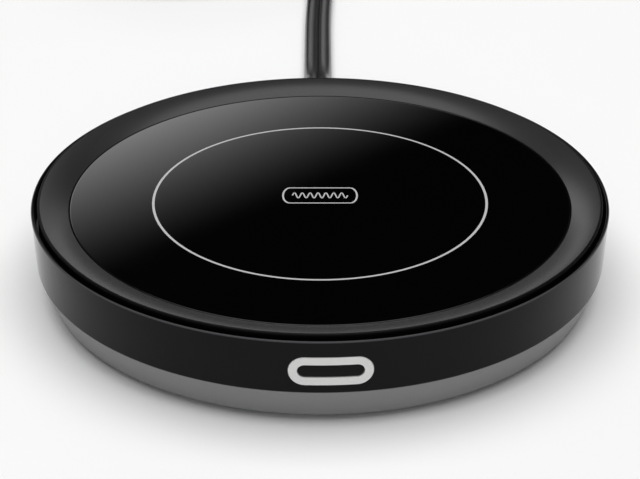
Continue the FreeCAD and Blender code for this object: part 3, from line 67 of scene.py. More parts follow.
# Details that follow the model and that nobody would change on their own
BASE_WALL = 2.2 * MM
BASE_FLOOR = 2.0 * MM
DECK_THICKNESS = 1.6 * MM
LAP_RADIUS = 61.68 * MM
LAP_WIDTH = 1.6 * MM
LAP_DEPTH = 1.8 * MM
FOOT_BED = (6.2 * MM, 0.6 * MM)
SCREW_BED = (2.8 * MM, 1.05 * MM)
SCREW_HOLE = (1.3 * MM, 2.6 * MM)
FOOT_RADIUS = 6.0 * MM
POST_HOLE = 1.9 * MM
POST_LEVELS = (7.0 * MM, 10.0 * MM)
WINDOW_REACH = (61.2 * MM, 67.0 * MM)
WINDOW_GAP = 0.1 * MM
COLLAR_SKIRT = 1.6 * MM
LEDGE_WIDTH = 2.0 * MM
LEDGE_LEVELS = (15.2 * MM, 16.8 * MM)
RING_BACK = 2.2 * MM
FLANGE_RADIUS = 61.8 * MM
FLANGE_DEPTHS = (3.25 * MM, 4.05 * MM)
FLANGE_WIDTH = 1.15 * MM
LEG_HALF = 1.5 * MM
LEG_FOOT = 10.6 * MM
BLADE_OFFSET = 6.35 * MM
BLADE_ENDS = (-89.0 * MM, -108.5 * MM)
BLADE_HALF_HEIGHT = 3.175 * MM
BLADE_HALF_THICK = 0.76 * MM
BLADE_HOLE = 1.6 * MM
BLADE_HOLE_PLACE = -104.9 * MM
PRINT_DEPTH = 0.05 * MM
PRINT_PROUD = 0.006 * MM
HOLD = 0.12 * MM

# Each set of screws: head radius, head height, shank radius, shank length, and -1 or 1 for the way it faces
SCREW_SETS = {
    "base_screws": (2.5, 1.0, 1.25, 6.2, -1.0),
    "plate_screws": (1.9, 1.2, 0.9, 5.0, -1.0),
    "stop_screws": (3.0, 1.3, 0.8, 3.5, -1.0),
    "clip_screws": (1.5, 0.8, 0.8, 2.05, -1.0),
    "switch_board_screws": (1.5, 0.9, 0.8, 2.35, 1.0),
    "board_screws": (1.9, 1.1, 0.9, 3.35, 1.0),
    "clamp_screws": (1.8, 1.1, 0.9, 3.95, 1.0),
}

# The model's pieces that this file makes anew; the others only get their finish
REPLACED = ("lower_base", "upper_housing", "rubber_feet", "plate_collar", "glass_plate", "glass_print",
            "light_ring", "power_button", "cord_lead", "cord_coil", "cord_tail", "strain_relief",
            "plug_body", "plug_blades") + tuple(SCREW_SETS)


# Properties: the sizes and colours that a user would change
def length(name, description, millimetres):
    return FloatProperty(name=name, description=description, default=millimetres * MM, min=0.0,
                         unit="LENGTH", precision=5)


def colour(name, description, red, green, blue):
    return FloatVectorProperty(name=name, description=description, default=(red, green, blue),
                               subtype="COLOR", size=3, min=0.0, max=1.0)


def number(name, description, value):
    return FloatProperty(name=name, description=description, default=value, min=0.0)


class MUGWARMER_body_sizes(bpy.types.PropertyGroup):
    rim_radius: length("Rim radius", "Outer radius of the dark wall at its top", 65.4)
    split_radius: length("Split radius", "Outer radius where the two shells meet", 64.8)
    base_radius: length("Base radius", "Radius of the grey shell at its underside", 61.9)
    foot_height: length("Foot height", "Gap between the table and the underside", 1.4)
    split_level: length("Split level", "Height of the line between the two shells", 8.7)
    rim_level: length("Rim level", "Height of the lip", 21.0)
    lip_inner: length("Lip inner radius", "Inner radius of the dark wall", 64.6)
    wall_inner: length("Wall inner radius", "Inner radius of the dark wall below its ledge", 63.5)
    ledge_level: length("Ledge level", "Height of the ledge inside the dark wall", 18.0)
    lip_round: length("Lip rounding", "Rounding of the lip's two edges", 0.35)
    base_round: length("Base rounding", "Rounding of the grey shell's lower edge", 0.8)
    deck_level: length("Deck level", "Top of the inner deck", 9.5)
    foot_circle: length("Foot circle", "Circle of the feet", 50.0)
    screw_circle: length("Screw circle", "Circle of the case screws", 56.0)
    post_circle: length("Post circle", "Circle of the plate's guide posts", 54.7)
    deck_reach: length("Deck reach", "Width of the inner deck", 16.5)
    segments: IntProperty(name="Segments", description="Faces round the body", default=360, min=24)


class MUGWARMER_plate_sizes(bpy.types.PropertyGroup):
    collar_radius: length("Collar radius", "Outer radius of the collar", 63.9)
    collar_top: length("Collar top", "Height of the collar's outer edge", 21.9)
    collar_round: length("Collar rounding", "Rounding of the collar's outer edge", 0.3)
    collar_under: length("Collar underside", "Underside of the collar's outer edge", 19.3)
    collar_crown: length("Collar crown", "How far the collar's slope bulges", 0.33)
    seat_radius: length("Seat radius", "Inner radius of the collar round the glass", 57.0)
    glass_radius: length("Glass radius", "Radius of the glass", 56.75)
    glass_top: length("Glass top", "Height of the glass surface", 19.8)
    glass_thickness: length("Glass thickness", "Thickness of the glass", 3.0)
    ring_radius: length("Ring radius", "Printed ring, at the middle of its line", 37.9)
    ring_line: length("Ring line", "Width of the ring's line", 0.56)
    badge_width: length("Badge width", "Printed outline, side to side", 17.3)
    badge_depth: length("Badge depth", "Printed outline, front to back", 8.0)
    badge_bulge: length("Badge bulge", "How far the outline's ends bulge", 1.7)
    badge_line: length("Badge line", "Width of the outline's line", 0.4)
    badge_shift: length("Badge shift", "Printed outline behind the centre", 1.5)
    wave_width: length("Wave width", "Length of the wave inside the outline", 12.6)
    wave_height: length("Wave height", "Height of the wave inside the outline", 2.6)


class MUGWARMER_button_sizes(bpy.types.PropertyGroup):
    offset: length("Offset", "Button to the right of the middle", 2.2)
    level: length("Level", "Height of the button's middle", 13.9)
    window_width: length("Ring width", "Light ring, side to side", 17.4)
    window_height: length("Ring height", "Light ring, top to bottom", 6.7)
    stroke: length("Stroke", "Width of the light ring's stroke", 1.85)
    proud: length("Proud", "Light ring in front of the wall", 0.1)
    clearance: length("Clearance", "Gap between button and light ring", 0.15)
    edge_round: length("Edge rounding", "Rounding of the ring's and the button's edges", 0.15)


class MUGWARMER_lead_sizes(bpy.types.PropertyGroup):
    width: length("Width", "Width of the flat twin lead", 7.6)
    lobe: length("Half radius", "Radius of each half of the lead", 1.95)
    exit_level: length("Exit level", "Height of the lead where it leaves the wall", 5.55)
    coil_radius: length("Coil radius", "Outer turn of the coil, at the lead's middle", 46.0)
    coil_pitch: length("Coil pitch", "Step between neighbouring turns", 4.6)
    coil_place: length("Coil place", "Where the turns begin, behind the centre", 224.0)
    layer_gap: length("Layer gap", "Gap between the coil's two layers", 0.5)
    relief_length: length("Relief length", "Strain relief outside the wall", 26.0)
    rib_pitch: length("Rib pitch", "Step between the strain relief's ribs", 2.6)
    plug_start: length("Plug start", "Plug's cord end, left of the centre", 60.0)
    plug_length: length("Plug length", "Plug from its cord end to its face", 32.0)
    plug_place: length("Plug place", "Plug's middle line, behind the centre", 291.6)
    plug_level: length("Plug level", "Height of the plug's middle line", 7.5)


class MUGWARMER_colours(bpy.types.PropertyGroup):
    gloss: colour("Gloss shell", "Glossy dark upper shell", 0.0045, 0.0045, 0.0048)
    grey: colour("Grey shell", "Matte grey lower shell", 0.22, 0.22, 0.224)
    collar: colour("Collar", "Satin collar round the glass", 0.019, 0.019, 0.0195)
    glass: colour("Glass", "Black glass", 0.0012, 0.0012, 0.0014)
    silver: colour("Silver print", "Printed lines on the glass", 0.50, 0.50, 0.50)
    diffuser: colour("Diffuser", "Pale light ring", 0.80, 0.80, 0.79)
    lead: colour("Lead", "Cover of the flat lead and the plug", 0.008, 0.008, 0.0085)
    rubber: colour("Rubber", "Feet", 0.02, 0.02, 0.021)
    floor: colour("Floor", "Table under the warmer", 0.95, 0.95, 0.95)


class MUGWARMER_stage_sizes(bpy.types.PropertyGroup):
    camera_distance: length("Camera distance", "Camera in front of the centre", 410.2)
    camera_height: length("Camera height", "Camera above the table", 229.1)
    camera_pitch: FloatProperty(name="Camera pitch", description="How far the camera looks down",
                                default=math.radians(28.2), subtype="ANGLE")
    camera_lens: number("Lens", "Focal length on a 36 mm wide sensor", 113.6)
    key: number("Key light", "Strength of the large overhead light", 19.8)
    fill: number("Fill light", "Strength of the light from the front", 3.6)
    world: number("World", "Strength of the plain surroundings", 0.14)


SIZE_GROUPS = {
    "mugwarmer_body": MUGWARMER_body_sizes,
    "mugwarmer_plate": MUGWARMER_plate_sizes,
    "mugwarmer_button": MUGWARMER_button_sizes,
    "mugwarmer_lead": MUGWARMER_lead_sizes,
    "mugwarmer_colours": MUGWARMER_colours,
    "mugwarmer_stage": MUGWARMER_stage_sizes,
}


# Nodes: one method adds every kind of node, and arithmetic on a field adds maths
class Field:
    """A number that varies over a surface or over points."""

    def __init__(self, nodes, socket):
        self.nodes = nodes
        self.socket = socket

    def maths(self, operation, *others):
        inputs = {place: value for place, value in enumerate((self,) + others)}
        made = self.nodes.node("ShaderNodeMath", {"operation": operation}, inputs)
        return Field(self.nodes, made.outputs[0])

    def __add__(self, other):
        return self.maths("ADD", other)

    def __sub__(self, other):
        return self.maths("SUBTRACT", other)

    def __mul__(self, other):
        return self.maths("MULTIPLY", other)

    def __truediv__(self, other):
        return self.maths("DIVIDE", other)

    def __pow__(self, other):
        return self.maths("POWER", other)

    def __rsub__(self, other):
        return self * -1.0 + other

    __radd__ = __add__
    __rmul__ = __mul__

    def between(self, low, high):
        """0 below low, 1 above high, and a straight line from one to the other."""
        return ((self - low) / (high - low)).maths("MAXIMUM", 0.0).maths("MINIMUM", 1.0)


class Nodes:
    """Adds nodes to one tree."""

    def __init__(self, tree):
        self.tree = tree

    def node(self, kind, settings=None, inputs=None):
        made = self.tree.nodes.new(kind)
        for name, value in (settings or {}).items():
            setattr(made, name, value)
        for place, value in (inputs or {}).items():
            self.feed(made.inputs[place], value)
        return made

    def feed(self, socket, value):
        if isinstance(value, Field):
            value = value.socket
        if isinstance(value, bpy.types.NodeSocket):
            self.tree.links.new(value, socket)
        else:
            socket.default_value = value


class Finish(Nodes):
    """A procedural material round one Principled shader."""

    def __init__(self, name, constants):
        self.material = bpy.data.materials.new(name)
        self.material.use_nodes = True
        super().__init__(self.material.node_tree)
        self.shader = self.tree.nodes["Principled BSDF"]
        for socket, value in constants.items():
            self.feed(self.shader.inputs[socket], value)

    def place(self, stretch=(1.0, 1.0, 1.0)):
        coordinates = self.node("ShaderNodeTexCoord")
        return self.node("ShaderNodeMapping", {}, {0: coordinates.outputs["Object"], 3: stretch}).outputs[0]

    def noise(self, scale, detail=3.0, stretch=(1.0, 1.0, 1.0)):
        made = self.node("ShaderNodeTexNoise", {},
                         {"Vector": self.place(stretch), "Scale": scale, "Detail": detail})
        return Field(self, made.outputs[0])

    def cells(self, scale, feature="F1"):
        made = self.node("ShaderNodeTexVoronoi", {"feature": feature},
                         {"Vector": self.place(), "Scale": scale})
        return Field(self, made.outputs[0])

    def axis(self, letter):
        parts = self.node("ShaderNodeSeparateXYZ", {}, {0: self.place()})
        return Field(self, parts.outputs["XYZ".index(letter)])

    def from_axis(self):
        """Distance from the body's upright axis."""
        east, north = self.axis("X"), self.axis("Y")
        return (east * east + north * north).maths("SQRT")

    def mix(self, amount, first, second):
        made = self.node("ShaderNodeMix", {"data_type": "RGBA"}, {0: amount, 6: first, 7: second})
        return made.outputs[2]

    def base(self, value):
        self.feed(self.shader.inputs["Base Color"], value)

    def rough(self, value):
        self.feed(self.shader.inputs["Roughness"], value)

    def bump(self, height, distance, strength=1.0):
        made = self.node("ShaderNodeBump", {}, {"Height": height, "Distance": distance, "Strength": strength})
        self.feed(self.shader.inputs["Normal"], made.outputs[0])


def shade(tone, amount=1.0):
    """A colour with its alpha, made lighter or darker."""
    return tuple(min(part * amount, 1.0) for part in tone[:3]) + (1.0,)


# Finishes: a function for each that is its own, and tables for the plain plastics and the metals
def gloss_black_shell():
    tone = bpy.context.scene.mugwarmer_colours.gloss
    body = bpy.context.scene.mugwarmer_body
    finish = Finish("gloss_black_shell", {"IOR": 1.46, "Specular IOR Level": 0.11})
    smears = finish.mix(finish.noise(90.0, 4.0), shade(tone, 0.8), shade(tone, 1.25))
    # Painted highlight: a thin band on the lip's outer rounding is coloured 14 times lighter than the shell,
    # standing for the lamps' highlight along the lip
    outer = finish.from_axis().between(body.rim_radius - 0.32 * MM, body.rim_radius - 0.2 * MM)
    upper = finish.axis("Z").between(body.rim_level - 0.4 * MM, body.rim_level - 0.25 * MM)
    finish.base(finish.mix(outer * upper, smears, shade(tone, 14.0)))
    finish.rough(finish.noise(260.0, 5.0) * 0.05 + 0.035)
    finish.bump(finish.noise(420.0, 2.0), 0.000012, 0.35)
    return finish.material


def grey_shell():
    tone = bpy.context.scene.mugwarmer_colours.grey
    finish = Finish("grey_shell", {"IOR": 1.45})
    grain = finish.noise(5200.0, 2.0)
    cloud = finish.noise(45.0, 3.0)
    finish.base(finish.mix(cloud * 0.7 + grain * 0.3, shade(tone, 0.9), shade(tone, 1.1)))
    finish.rough(grain * 0.12 + 0.46)
    finish.bump(grain + finish.cells(3800.0) * 0.6, 0.00004, 0.5)
    return finish.material


def satin_collar():
    """Satin dark grey, with painted shade: its outer edge is dead black."""
    tone = bpy.context.scene.mugwarmer_colours.collar
    radius = bpy.context.scene.mugwarmer_plate.collar_radius
    finish = Finish("satin_collar", {"IOR": 1.5, "Specular IOR Level": 0.32})
    grain = finish.noise(7000.0, 2.0)
    finish.base(finish.mix(grain, shade(tone, 0.88), shade(tone, 1.12)))
    finish.rough(finish.noise(120.0, 3.0) * 0.03 + 0.25)
    finish.bump(grain, 0.000008, 0.3)
    # Painted shade: the outer 0.54 mm of the collar, with its rounding and its side, gets a dead black shader
    # that stands for the shade on the edge turning away from the light
    black = {"Base Color": (0.0015, 0.0015, 0.0015, 1.0), "Roughness": 0.45, "Specular IOR Level": 0.08}
    painted_shade_rim = finish.node("ShaderNodeBsdfPrincipled", {}, black)
    edge = finish.from_axis().between(radius - 0.6 * MM, radius - 0.54 * MM)
    both = finish.node("ShaderNodeMixShader", {},
                       {0: edge, 1: finish.shader.outputs[0], 2: painted_shade_rim.outputs[0]})
    finish.feed(finish.tree.nodes["Material Output"].inputs[0], both.outputs[0])
    return finish.material


def black_glass():
    tone = bpy.context.scene.mugwarmer_colours.glass
    finish = Finish("black_glass", {"IOR": 1.5})
    haze = finish.noise(38.0, 5.0)
    finish.base(finish.mix(haze, shade(tone, 0.9), shade(tone, 1.1)))
    finish.rough(haze.between(0.45, 0.8) * 0.035 + 0.018)
    return finish.material


def silver_print():
    tone = bpy.context.scene.mugwarmer_colours.silver
    finish = Finish("silver_print", {"IOR": 1.45})
    flakes = finish.noise(9000.0, 1.0)
    finish.base(finish.mix(flakes, shade(tone, 0.86), shade(tone, 1.12)))
    finish.rough(flakes * 0.2 + 0.38)
    finish.bump(flakes, 0.000006, 0.5)
    return finish.material


def pale_diffuser():
    tone = bpy.context.scene.mugwarmer_colours.diffuser
    finish = Finish("pale_diffuser", {"IOR": 1.45})
    milk = finish.noise(700.0, 3.0)
    finish.base(finish.mix(milk, shade(tone, 0.95), shade(tone, 1.04)))
    finish.rough(finish.noise(3000.0, 2.0) * 0.15 + 0.42)
    finish.bump(finish.noise(3500.0, 2.0), 0.00001, 0.4)
    return finish.material


def foot_rubber():
    tone = bpy.context.scene.mugwarmer_colours.rubber
    finish = Finish("foot_rubber", {"IOR": 1.48})
    grain = finish.noise(4200.0, 3.0)
    dust = finish.noise(160.0, 5.0).between(0.55, 0.8)
    finish.base(finish.mix(dust, shade(tone), shade(tone, 2.0)))
    finish.rough(grain * 0.14 + 0.7)
    finish.bump(grain + finish.cells(2600.0) * 0.5, 0.00004, 0.5)
    return finish.material


def cord_cover():
    tone = bpy.context.scene.mugwarmer_colours.lead
    finish = Finish("cord_cover", {"IOR": 1.5})
    grain = finish.noise(3600.0, 3.0)
    cloud = finish.noise(60.0, 4.0)
    finish.base(finish.mix(cloud, shade(tone, 0.85), shade(tone, 1.3)))
    finish.rough(grain * 0.08 + 0.25)
    finish.bump(grain + finish.cells(2300.0) * 0.4, 0.00002, 0.35)
    return finish.material


def brushed(name, tone, roughness, stretch):
    """Metal with fine marks that run along one axis."""
    finish = Finish(name, {"Metallic": 1.0})
    marks = finish.noise(900.0, 4.0, stretch)
    finish.base(finish.mix(marks, shade(tone, 0.85), shade(tone, 1.1)))
    finish.rough(marks * 0.2 + roughness)
    finish.bump(marks, 0.000008, 0.4)
    return finish.material


METALS = {
    "screw_steel": ((0.55, 0.55, 0.56), 0.22, (1.0, 9.0, 1.0)),
    "spring_steel": ((0.5, 0.5, 0.52), 0.2, (1.0, 1.0, 6.0)),
    "spreader_aluminium": ((0.75, 0.75, 0.76), 0.3, (0.3, 12.0, 1.0)),
    "fuse_metal": ((0.7, 0.7, 0.7), 0.12, (1.0, 4.0, 4.0)),
    "blade_brass": ((0.72, 0.6, 0.35), 0.24, (0.4, 6.0, 8.0)),
}


def heating_film():
    finish = Finish("heating_film", {"IOR": 1.6})
    track = (finish.axis("X") * 900.0).maths("SINE").between(-0.1, 0.1)
    finish.base(finish.mix(track, (0.42, 0.2, 0.05, 1.0), (0.14, 0.1, 0.07, 1.0)))
    finish.rough(finish.noise(300.0) * 0.1 + 0.25)
    finish.bump(track, 0.00003, 0.5)
    return finish.material


def insulation():
    finish = Finish("insulation", {})
    fibres = finish.noise(1400.0, 6.0, (1.0, 0.25, 1.0))
    finish.base(finish.mix(fibres, (0.6, 0.58, 0.53, 1.0), (0.82, 0.81, 0.78, 1.0)))
    finish.rough(fibres * 0.1 + 0.88)
    finish.bump(fibres, 0.00015, 0.8)
    return finish.material


def moulded(name, dark, light, roughness):
    """Plain moulded plastic: faint clouds and a fine grain."""
    finish = Finish(name, {"IOR": 1.5})
    finish.base(finish.mix(finish.noise(140.0, 3.0), shade(dark), shade(light)))
    grain = finish.noise(4000.0, 2.0)
    finish.rough(grain * 0.1 + roughness)
    finish.bump(grain, 0.00002, 0.4)
    return finish.material


PLASTICS = {
    "inner_plastic": ((0.04, 0.04, 0.04), (0.06, 0.06, 0.06), 0.5),
    "component_black": ((0.015, 0.015, 0.015), (0.026, 0.026, 0.026), 0.42),
    "component_green": ((0.02, 0.2, 0.07), (0.035, 0.28, 0.12), 0.4),
    "component_yellow": ((0.68, 0.47, 0.06), (0.8, 0.6, 0.1), 0.3),
    "clear_light": ((0.8, 0.8, 0.74), (0.9, 0.9, 0.84), 0.12),
    "wire_cover": ((0.3, 0.02, 0.015), (0.4, 0.035, 0.022), 0.38),
}


def circuit_board():
    finish = Finish("circuit_board", {"IOR": 1.5})
    tracks = finish.cells(420.0, "DISTANCE_TO_EDGE").between(0.03, 0.05)
    pads = finish.cells(900.0).between(0.16, 0.2)
    mask = finish.mix(tracks, (0.03, 0.2, 0.08, 1.0), (0.012, 0.12, 0.045, 1.0))
    finish.base(finish.mix(pads, (0.45, 0.42, 0.32, 1.0), mask))
    finish.rough(pads * 0.12 + 0.2)
    finish.bump(tracks, 0.00003, 0.4)
    return finish.material


FINISHES = (gloss_black_shell, grey_shell, satin_collar, black_glass, silver_print, pale_diffuser,
            foot_rubber, cord_cover, heating_film, insulation, circuit_board)
MADE = {}


def finish_of(slot):
    """The material of a slot, made the first time it is asked for."""
    if slot not in MADE:
        if slot in METALS:
            MADE[slot] = brushed(slot, *METALS[slot])
        elif slot in PLASTICS:
            MADE[slot] = moulded(slot, *PLASTICS[slot])
        else:
            MADE[slot] = next(make for make in FINISHES if make.__name__ == slot)()
    return MADE[slot]


# Meshes
def mesh_piece(name, points, faces, slot, sharp=35.0):
    """A closed mesh with its seams merged, its faces outwards and its finish."""
    mesh = bpy.data.meshes.new(name)
    mesh.from_pydata(points, [], faces)
    work = bmesh.new()
    work.from_mesh(mesh)
    bmesh.ops.remove_doubles(work, verts=work.verts, dist=1e-7)
    bmesh.ops.dissolve_degenerate(work, edges=work.edges, dist=1e-8)
    bmesh.ops.recalc_face_normals(work, faces=work.faces)
    work.to_mesh(mesh)
    work.free()
    piece = linked(name, mesh)
    coated(mesh, slot, sharp)
    return piece


def linked(name, data):
    """A new object in the scene for a mesh, curve, camera or lamp."""
    made = bpy.data.objects.new(name, data)
    bpy.context.scene.collection.objects.link(made)
    return made


def coated(mesh, slot, sharp=35.0):
    """One finish on the whole mesh, smooth up to a sharp angle."""
    mesh.materials.clear()
    mesh.materials.append(finish_of(slot))
    smoothed(mesh, sharp)


def smoothed(mesh, sharp=35.0):
    mesh.shade_smooth()
    mesh.set_sharp_from_angle(angle=math.radians(sharp))


def settled(piece):
    """Turn a piece's modifiers into its own plain mesh."""
    graph = bpy.context.evaluated_depsgraph_get()
    mesh = bpy.data.meshes.new_from_object(piece.evaluated_get(graph))
    piece.modifiers.clear()
    piece.data = mesh
    return piece


def cut_away(piece, cutters, slot):
    """Take cutters out of a piece, and remove them."""
    for cutter in cutters:
        modifier = piece.modifiers.new(cutter.name, "BOOLEAN")
        modifier.object = cutter
        modifier.solver = "EXACT"
    settled(piece)
    for cutter in cutters:
        bpy.data.objects.remove(cutter)
    coated(piece.data, slot)
    return piece


def joined_into(piece, others, slot):
    """Add other meshes to a piece's own, and remove them."""
    work = bmesh.new()
    work.from_mesh(piece.data)
    for other in others:
        work.from_mesh(other.data)
        bpy.data.objects.remove(other)
    work.to_mesh(piece.data)
    work.free()
    coated(piece.data, slot)
    return piece


def around(count):
    """Evenly spaced angles of one full turn."""
    return [2 * math.pi * step / count for step in range(count)]


def with_rounds(corners, steps=6, hold=HOLD):
    """A closed outline from (across, up, radius) corners, each rounded by an arc.

    A point just beyond each end of an arc keeps the flat run next to it flat in its shading.
    """
    outline = []
    for index, (across, up, radius) in enumerate(corners):
        here = Vector((across, up))
        if radius == 0.0:
            outline.append(here)
            continue
        before = (Vector(corners[index - 1][:2]) - here).normalized()
        after = (Vector(corners[(index + 1) % len(corners)][:2]) - here).normalized()
        half = before.angle(after) / 2
        middle = here + (before + after).normalized() * (radius / math.sin(half))
        reach = radius / math.tan(half)
        first = here + before * reach - middle
        last = here + after * reach - middle
        sign = 1.0 if first.x * last.y - first.y * last.x > 0 else -1.0
        start = math.atan2(first.y, first.x)
        outline.append(here + before * (reach + hold))
        for step in range(steps + 1):
            angle = start + sign * (math.pi - 2 * half) * step / steps
            outline.append(middle + radius * Vector((math.cos(angle), math.sin(angle))))
        outline.append(here + after * (reach + hold))
    return outline


def lathe(name, outline, slot, sharp=35.0):
    """A closed outline of (radius, level) turned round the upright axis."""
    count = bpy.context.scene.mugwarmer_body.segments
    points = [(r * math.cos(angle), r * math.sin(angle), z) for angle in around(count) for r, z in outline]
    return mesh_piece(name, points, bands(count, len(outline), True), slot, sharp)


def bands(loops, size, closed):
    """Faces between neighbouring loops of equal size; closed joins the last to the first."""
    faces = []
    for loop in range(loops if closed else loops - 1):
        low = loop * size
        high = (loop + 1) % loops * size
        for index in range(size):
            following = (index + 1) % size
            faces.append((low + index, low + following, high + following, high + index))
    return faces


def skinned(name, loops, slot, closed=False, sharp=35.0):
    """A skin over loops of points, with flat ends unless it closes on itself."""
    size = len(loops[0])
    faces = bands(len(loops), size, closed)
    if not closed:
        faces.append(tuple(range(size)))
        faces.append(tuple((len(loops) - 1) * size + index for index in reversed(range(size))))
    points = [point for loop in loops for point in loop]
    return mesh_piece(name, points, faces, slot, sharp)


def pill_outline(width, height, arc=20, run=24):
    """A stadium round the origin: straight sides and half-round ends."""
    radius = height / 2
    half = width / 2 - radius
    outline = []
    for side in (1, -1):
        for step in range(arc + 1):
            angle = -math.pi / 2 + math.pi * step / arc
            outline.append((side * (half + radius * math.cos(angle)), side * radius * math.sin(angle)))
        for step in range(1, run):
            outline.append((side * half * (1 - 2 * step / run), side * radius))
    return outline


def on_wall(outline, depth):
    """A front outline laid on the round wall, a depth behind its face."""
    body = bpy.context.scene.mugwarmer_body
    sizes = bpy.context.scene.mugwarmer_button
    slope = (body.rim_radius - body.split_radius) / (body.rim_level - body.split_level)
    points = []
    for across, up in outline:
        x = across + sizes.offset
        z = up + sizes.level
        radius = body.split_radius + (z - body.split_level) * slope - depth
        points.append((x, -math.sqrt(radius * radius - x * x), z))
    return points


def prism_pill(name, width, height, back, front):
    """A stadium prism across the front wall, for cutting."""
    sizes = bpy.context.scene.mugwarmer_button
    outline = pill_outline(width, height, 24, 2)
    loops = [[(x + sizes.offset, -y, z + sizes.level) for x, z in outline] for y in (back, front)]
    return skinned(name, loops, "component_black")


def round_cutter(name, radius, centre, low, high):
    across, along = centre
    loops = [[(across + radius * math.cos(angle), along + radius * math.sin(angle), level)
              for angle in around(64)] for level in (low, high)]
    return skinned(name, loops, "component_black")


def box_cutter(name, low, high):
    loops = [[(low[0], low[1], z), (high[0], low[1], z), (high[0], high[1], z), (low[0], high[1], z)]
             for z in (low[2], high[2])]
    return skinned(name, loops, "component_black")


def ring_places(radius, count, turn):
    """Places on a circle, from a turn in degrees."""
    angles = [math.radians(turn + 360 * index / count) for index in range(count)]
    return [(radius * math.cos(angle), radius * math.sin(angle)) for angle in angles]


# Geometry Nodes
class Tree(Nodes):
    """A Geometry Nodes tree with named inputs; its result is made real and given a finish."""

    def __init__(self, name, inputs):
        super().__init__(bpy.data.node_groups.new(name, "GeometryNodeTree"))
        self.tree.interface.new_socket("Geometry", in_out="INPUT", socket_type="NodeSocketGeometry")
        self.tree.interface.new_socket("Geometry", in_out="OUTPUT", socket_type="NodeSocketGeometry")
        self.keys = {}
        for label, value in inputs.items():
            kind = {float: "NodeSocketFloat", int: "NodeSocketInt", tuple: "NodeSocketVector"}[type(value)]
            socket = self.tree.interface.new_socket(label, in_out="INPUT", socket_type=kind)
            socket.default_value = value
            self.keys[label] = socket.identifier
        socket = self.tree.interface.new_socket("Finish", in_out="INPUT", socket_type="NodeSocketMaterial")
        self.keys["Finish"] = socket.identifier
        self.start = self.tree.nodes.new("NodeGroupInput")

    def given(self, label):
        return Field(self, self.start.outputs[label])

    def vector(self, x, y, z):
        return self.node("ShaderNodeCombineXYZ", {}, {0: x, 1: y, 2: z}).outputs[0]

    def moved(self, geometry, offset, turn=(0.0, 0.0, 0.0)):
        return self.node("GeometryNodeTransform", {}, {"Geometry": geometry, "Translation": offset,
                                                       "Rotation": turn}).outputs[0]

    def joined(self, *parts):
        made = self.node("GeometryNodeJoinGeometry")
        for part in parts:
            self.tree.links.new(part, made.inputs[0])
        return made.outputs[0]

    def cone(self, faces, top, bottom, depth):
        return self.node("GeometryNodeMeshCone", {}, {"Vertices": faces, "Radius Top": top,
                                                      "Radius Bottom": bottom, "Depth": depth}).outputs[0]

    def cylinder(self, faces, radius, depth):
        sizes = {"Vertices": faces, "Radius": radius, "Depth": depth}
        return self.node("GeometryNodeMeshCylinder", {}, sizes).outputs[0]

    def box(self, across, along, tall):
        return self.node("GeometryNodeMeshCube", {}, {0: self.vector(across, along, tall)}).outputs[0]

    def less(self, whole, *cutters):
        made = self.node("GeometryNodeMeshBoolean", {"operation": "DIFFERENCE"}, {0: whole})
        for cutter in cutters:
            self.feed(made.inputs[1], cutter)
        return made.outputs[0]

    def finish(self, instance, others):
        """End the tree: the instance on every point, made real and coated."""
        inputs = {"Points": self.given("Geometry"), "Instance": instance, **others}
        spread = self.node("GeometryNodeInstanceOnPoints", {}, inputs).outputs[0]
        real = self.node("GeometryNodeRealizeInstances", {}, {0: spread}).outputs[0]
        finish = {"Geometry": real, "Material": self.given("Finish")}
        self.node("NodeGroupOutput", {}, {0: self.node("GeometryNodeSetMaterial", {}, finish).outputs[0]})


def grown(name, places, tree, values, slot, bevel=0.0, sharp=35.0):
    """Points in space, dressed by a tree, as one plain mesh."""
    mesh = bpy.data.meshes.new(name)
    mesh.from_pydata(places, [], [])
    piece = linked(name, mesh)
    modifier = piece.modifiers.new("Nodes", "NODES")
    modifier.node_group = tree.tree
    for label, value in values.items():
        modifier[tree.keys[label]] = value
    modifier[tree.keys["Finish"]] = finish_of(slot)
    if bevel:
        edge = piece.modifiers.new("Edges", "BEVEL")
        edge.width = bevel
        edge.segments = 2
    settled(piece)
    smoothed(piece.data, sharp)
    return piece


def screw_tree():
    """Cross-head screws on points: a two-step head, a cross recess and a shank."""
    tree = Tree("cross_head_screws", {"Head radius": 0.0025, "Head height": 0.001, "Shank radius": 0.00125,
                                      "Shank length": 0.006, "Facing": 1.0, "Seed": 4})
    head = tree.given("Head radius")
    height = tree.given("Head height")
    lower = tree.cone(40, head * 0.94, head, height * 0.6)
    dome = tree.cone(40, head * 0.66, head * 0.94, height * 0.4)
    cap = tree.joined(lower, tree.moved(dome, tree.vector(0.0, 0.0, height * 0.6)))
    recesses = [tree.moved(tree.box(head * long, head * wide, height), tree.vector(0.0, 0.0, height * 1.05))
                for long, wide in ((1.2, 0.26), (0.26, 1.2))]
    shank = tree.cylinder(24, tree.given("Shank radius"), tree.given("Shank length"))
    shank = tree.moved(shank, tree.vector(0.0, 0.0, tree.given("Shank length") * -0.5))
    spin = tree.node("FunctionNodeRandomValue", {"data_type": "FLOAT"},
                     {2: 0.0, 3: 3.14, 8: tree.given("Seed")})
    tip = (1.0 - tree.given("Facing")) * (math.pi / 2)
    turned = tree.vector(tip, 0.0, spin.outputs[1])
    tree.finish(tree.joined(tree.less(cap, *recesses), shank), {"Rotation": turned})
    return tree


def screw_places(node, head, facing):
    """Where the heads meet their shanks, read from the model's own screws."""
    mesh = frame["nodes"][node].data
    low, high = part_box(node)
    level = low[2] + head if facing < 0 else high[2] - head
    work = bmesh.new()
    work.from_mesh(mesh)
    bmesh.ops.remove_doubles(work, verts=work.verts, dist=1e-6)
    seen = set()
    centres = []
    for vertex in work.verts:
        if vertex.index in seen:
            continue
        island = [vertex]
        seen.add(vertex.index)
        for member in island:
            for edge in member.link_edges:
                other = edge.other_vert(member)
                if other.index not in seen:
                    seen.add(other.index)
                    island.append(other)
        xs = [member.co.x for member in island]
        ys = [member.co.y for member in island]
        centres.append(((min(xs) + max(xs)) / 2, (min(ys) + max(ys)) / 2, level))
    work.free()
    return centres


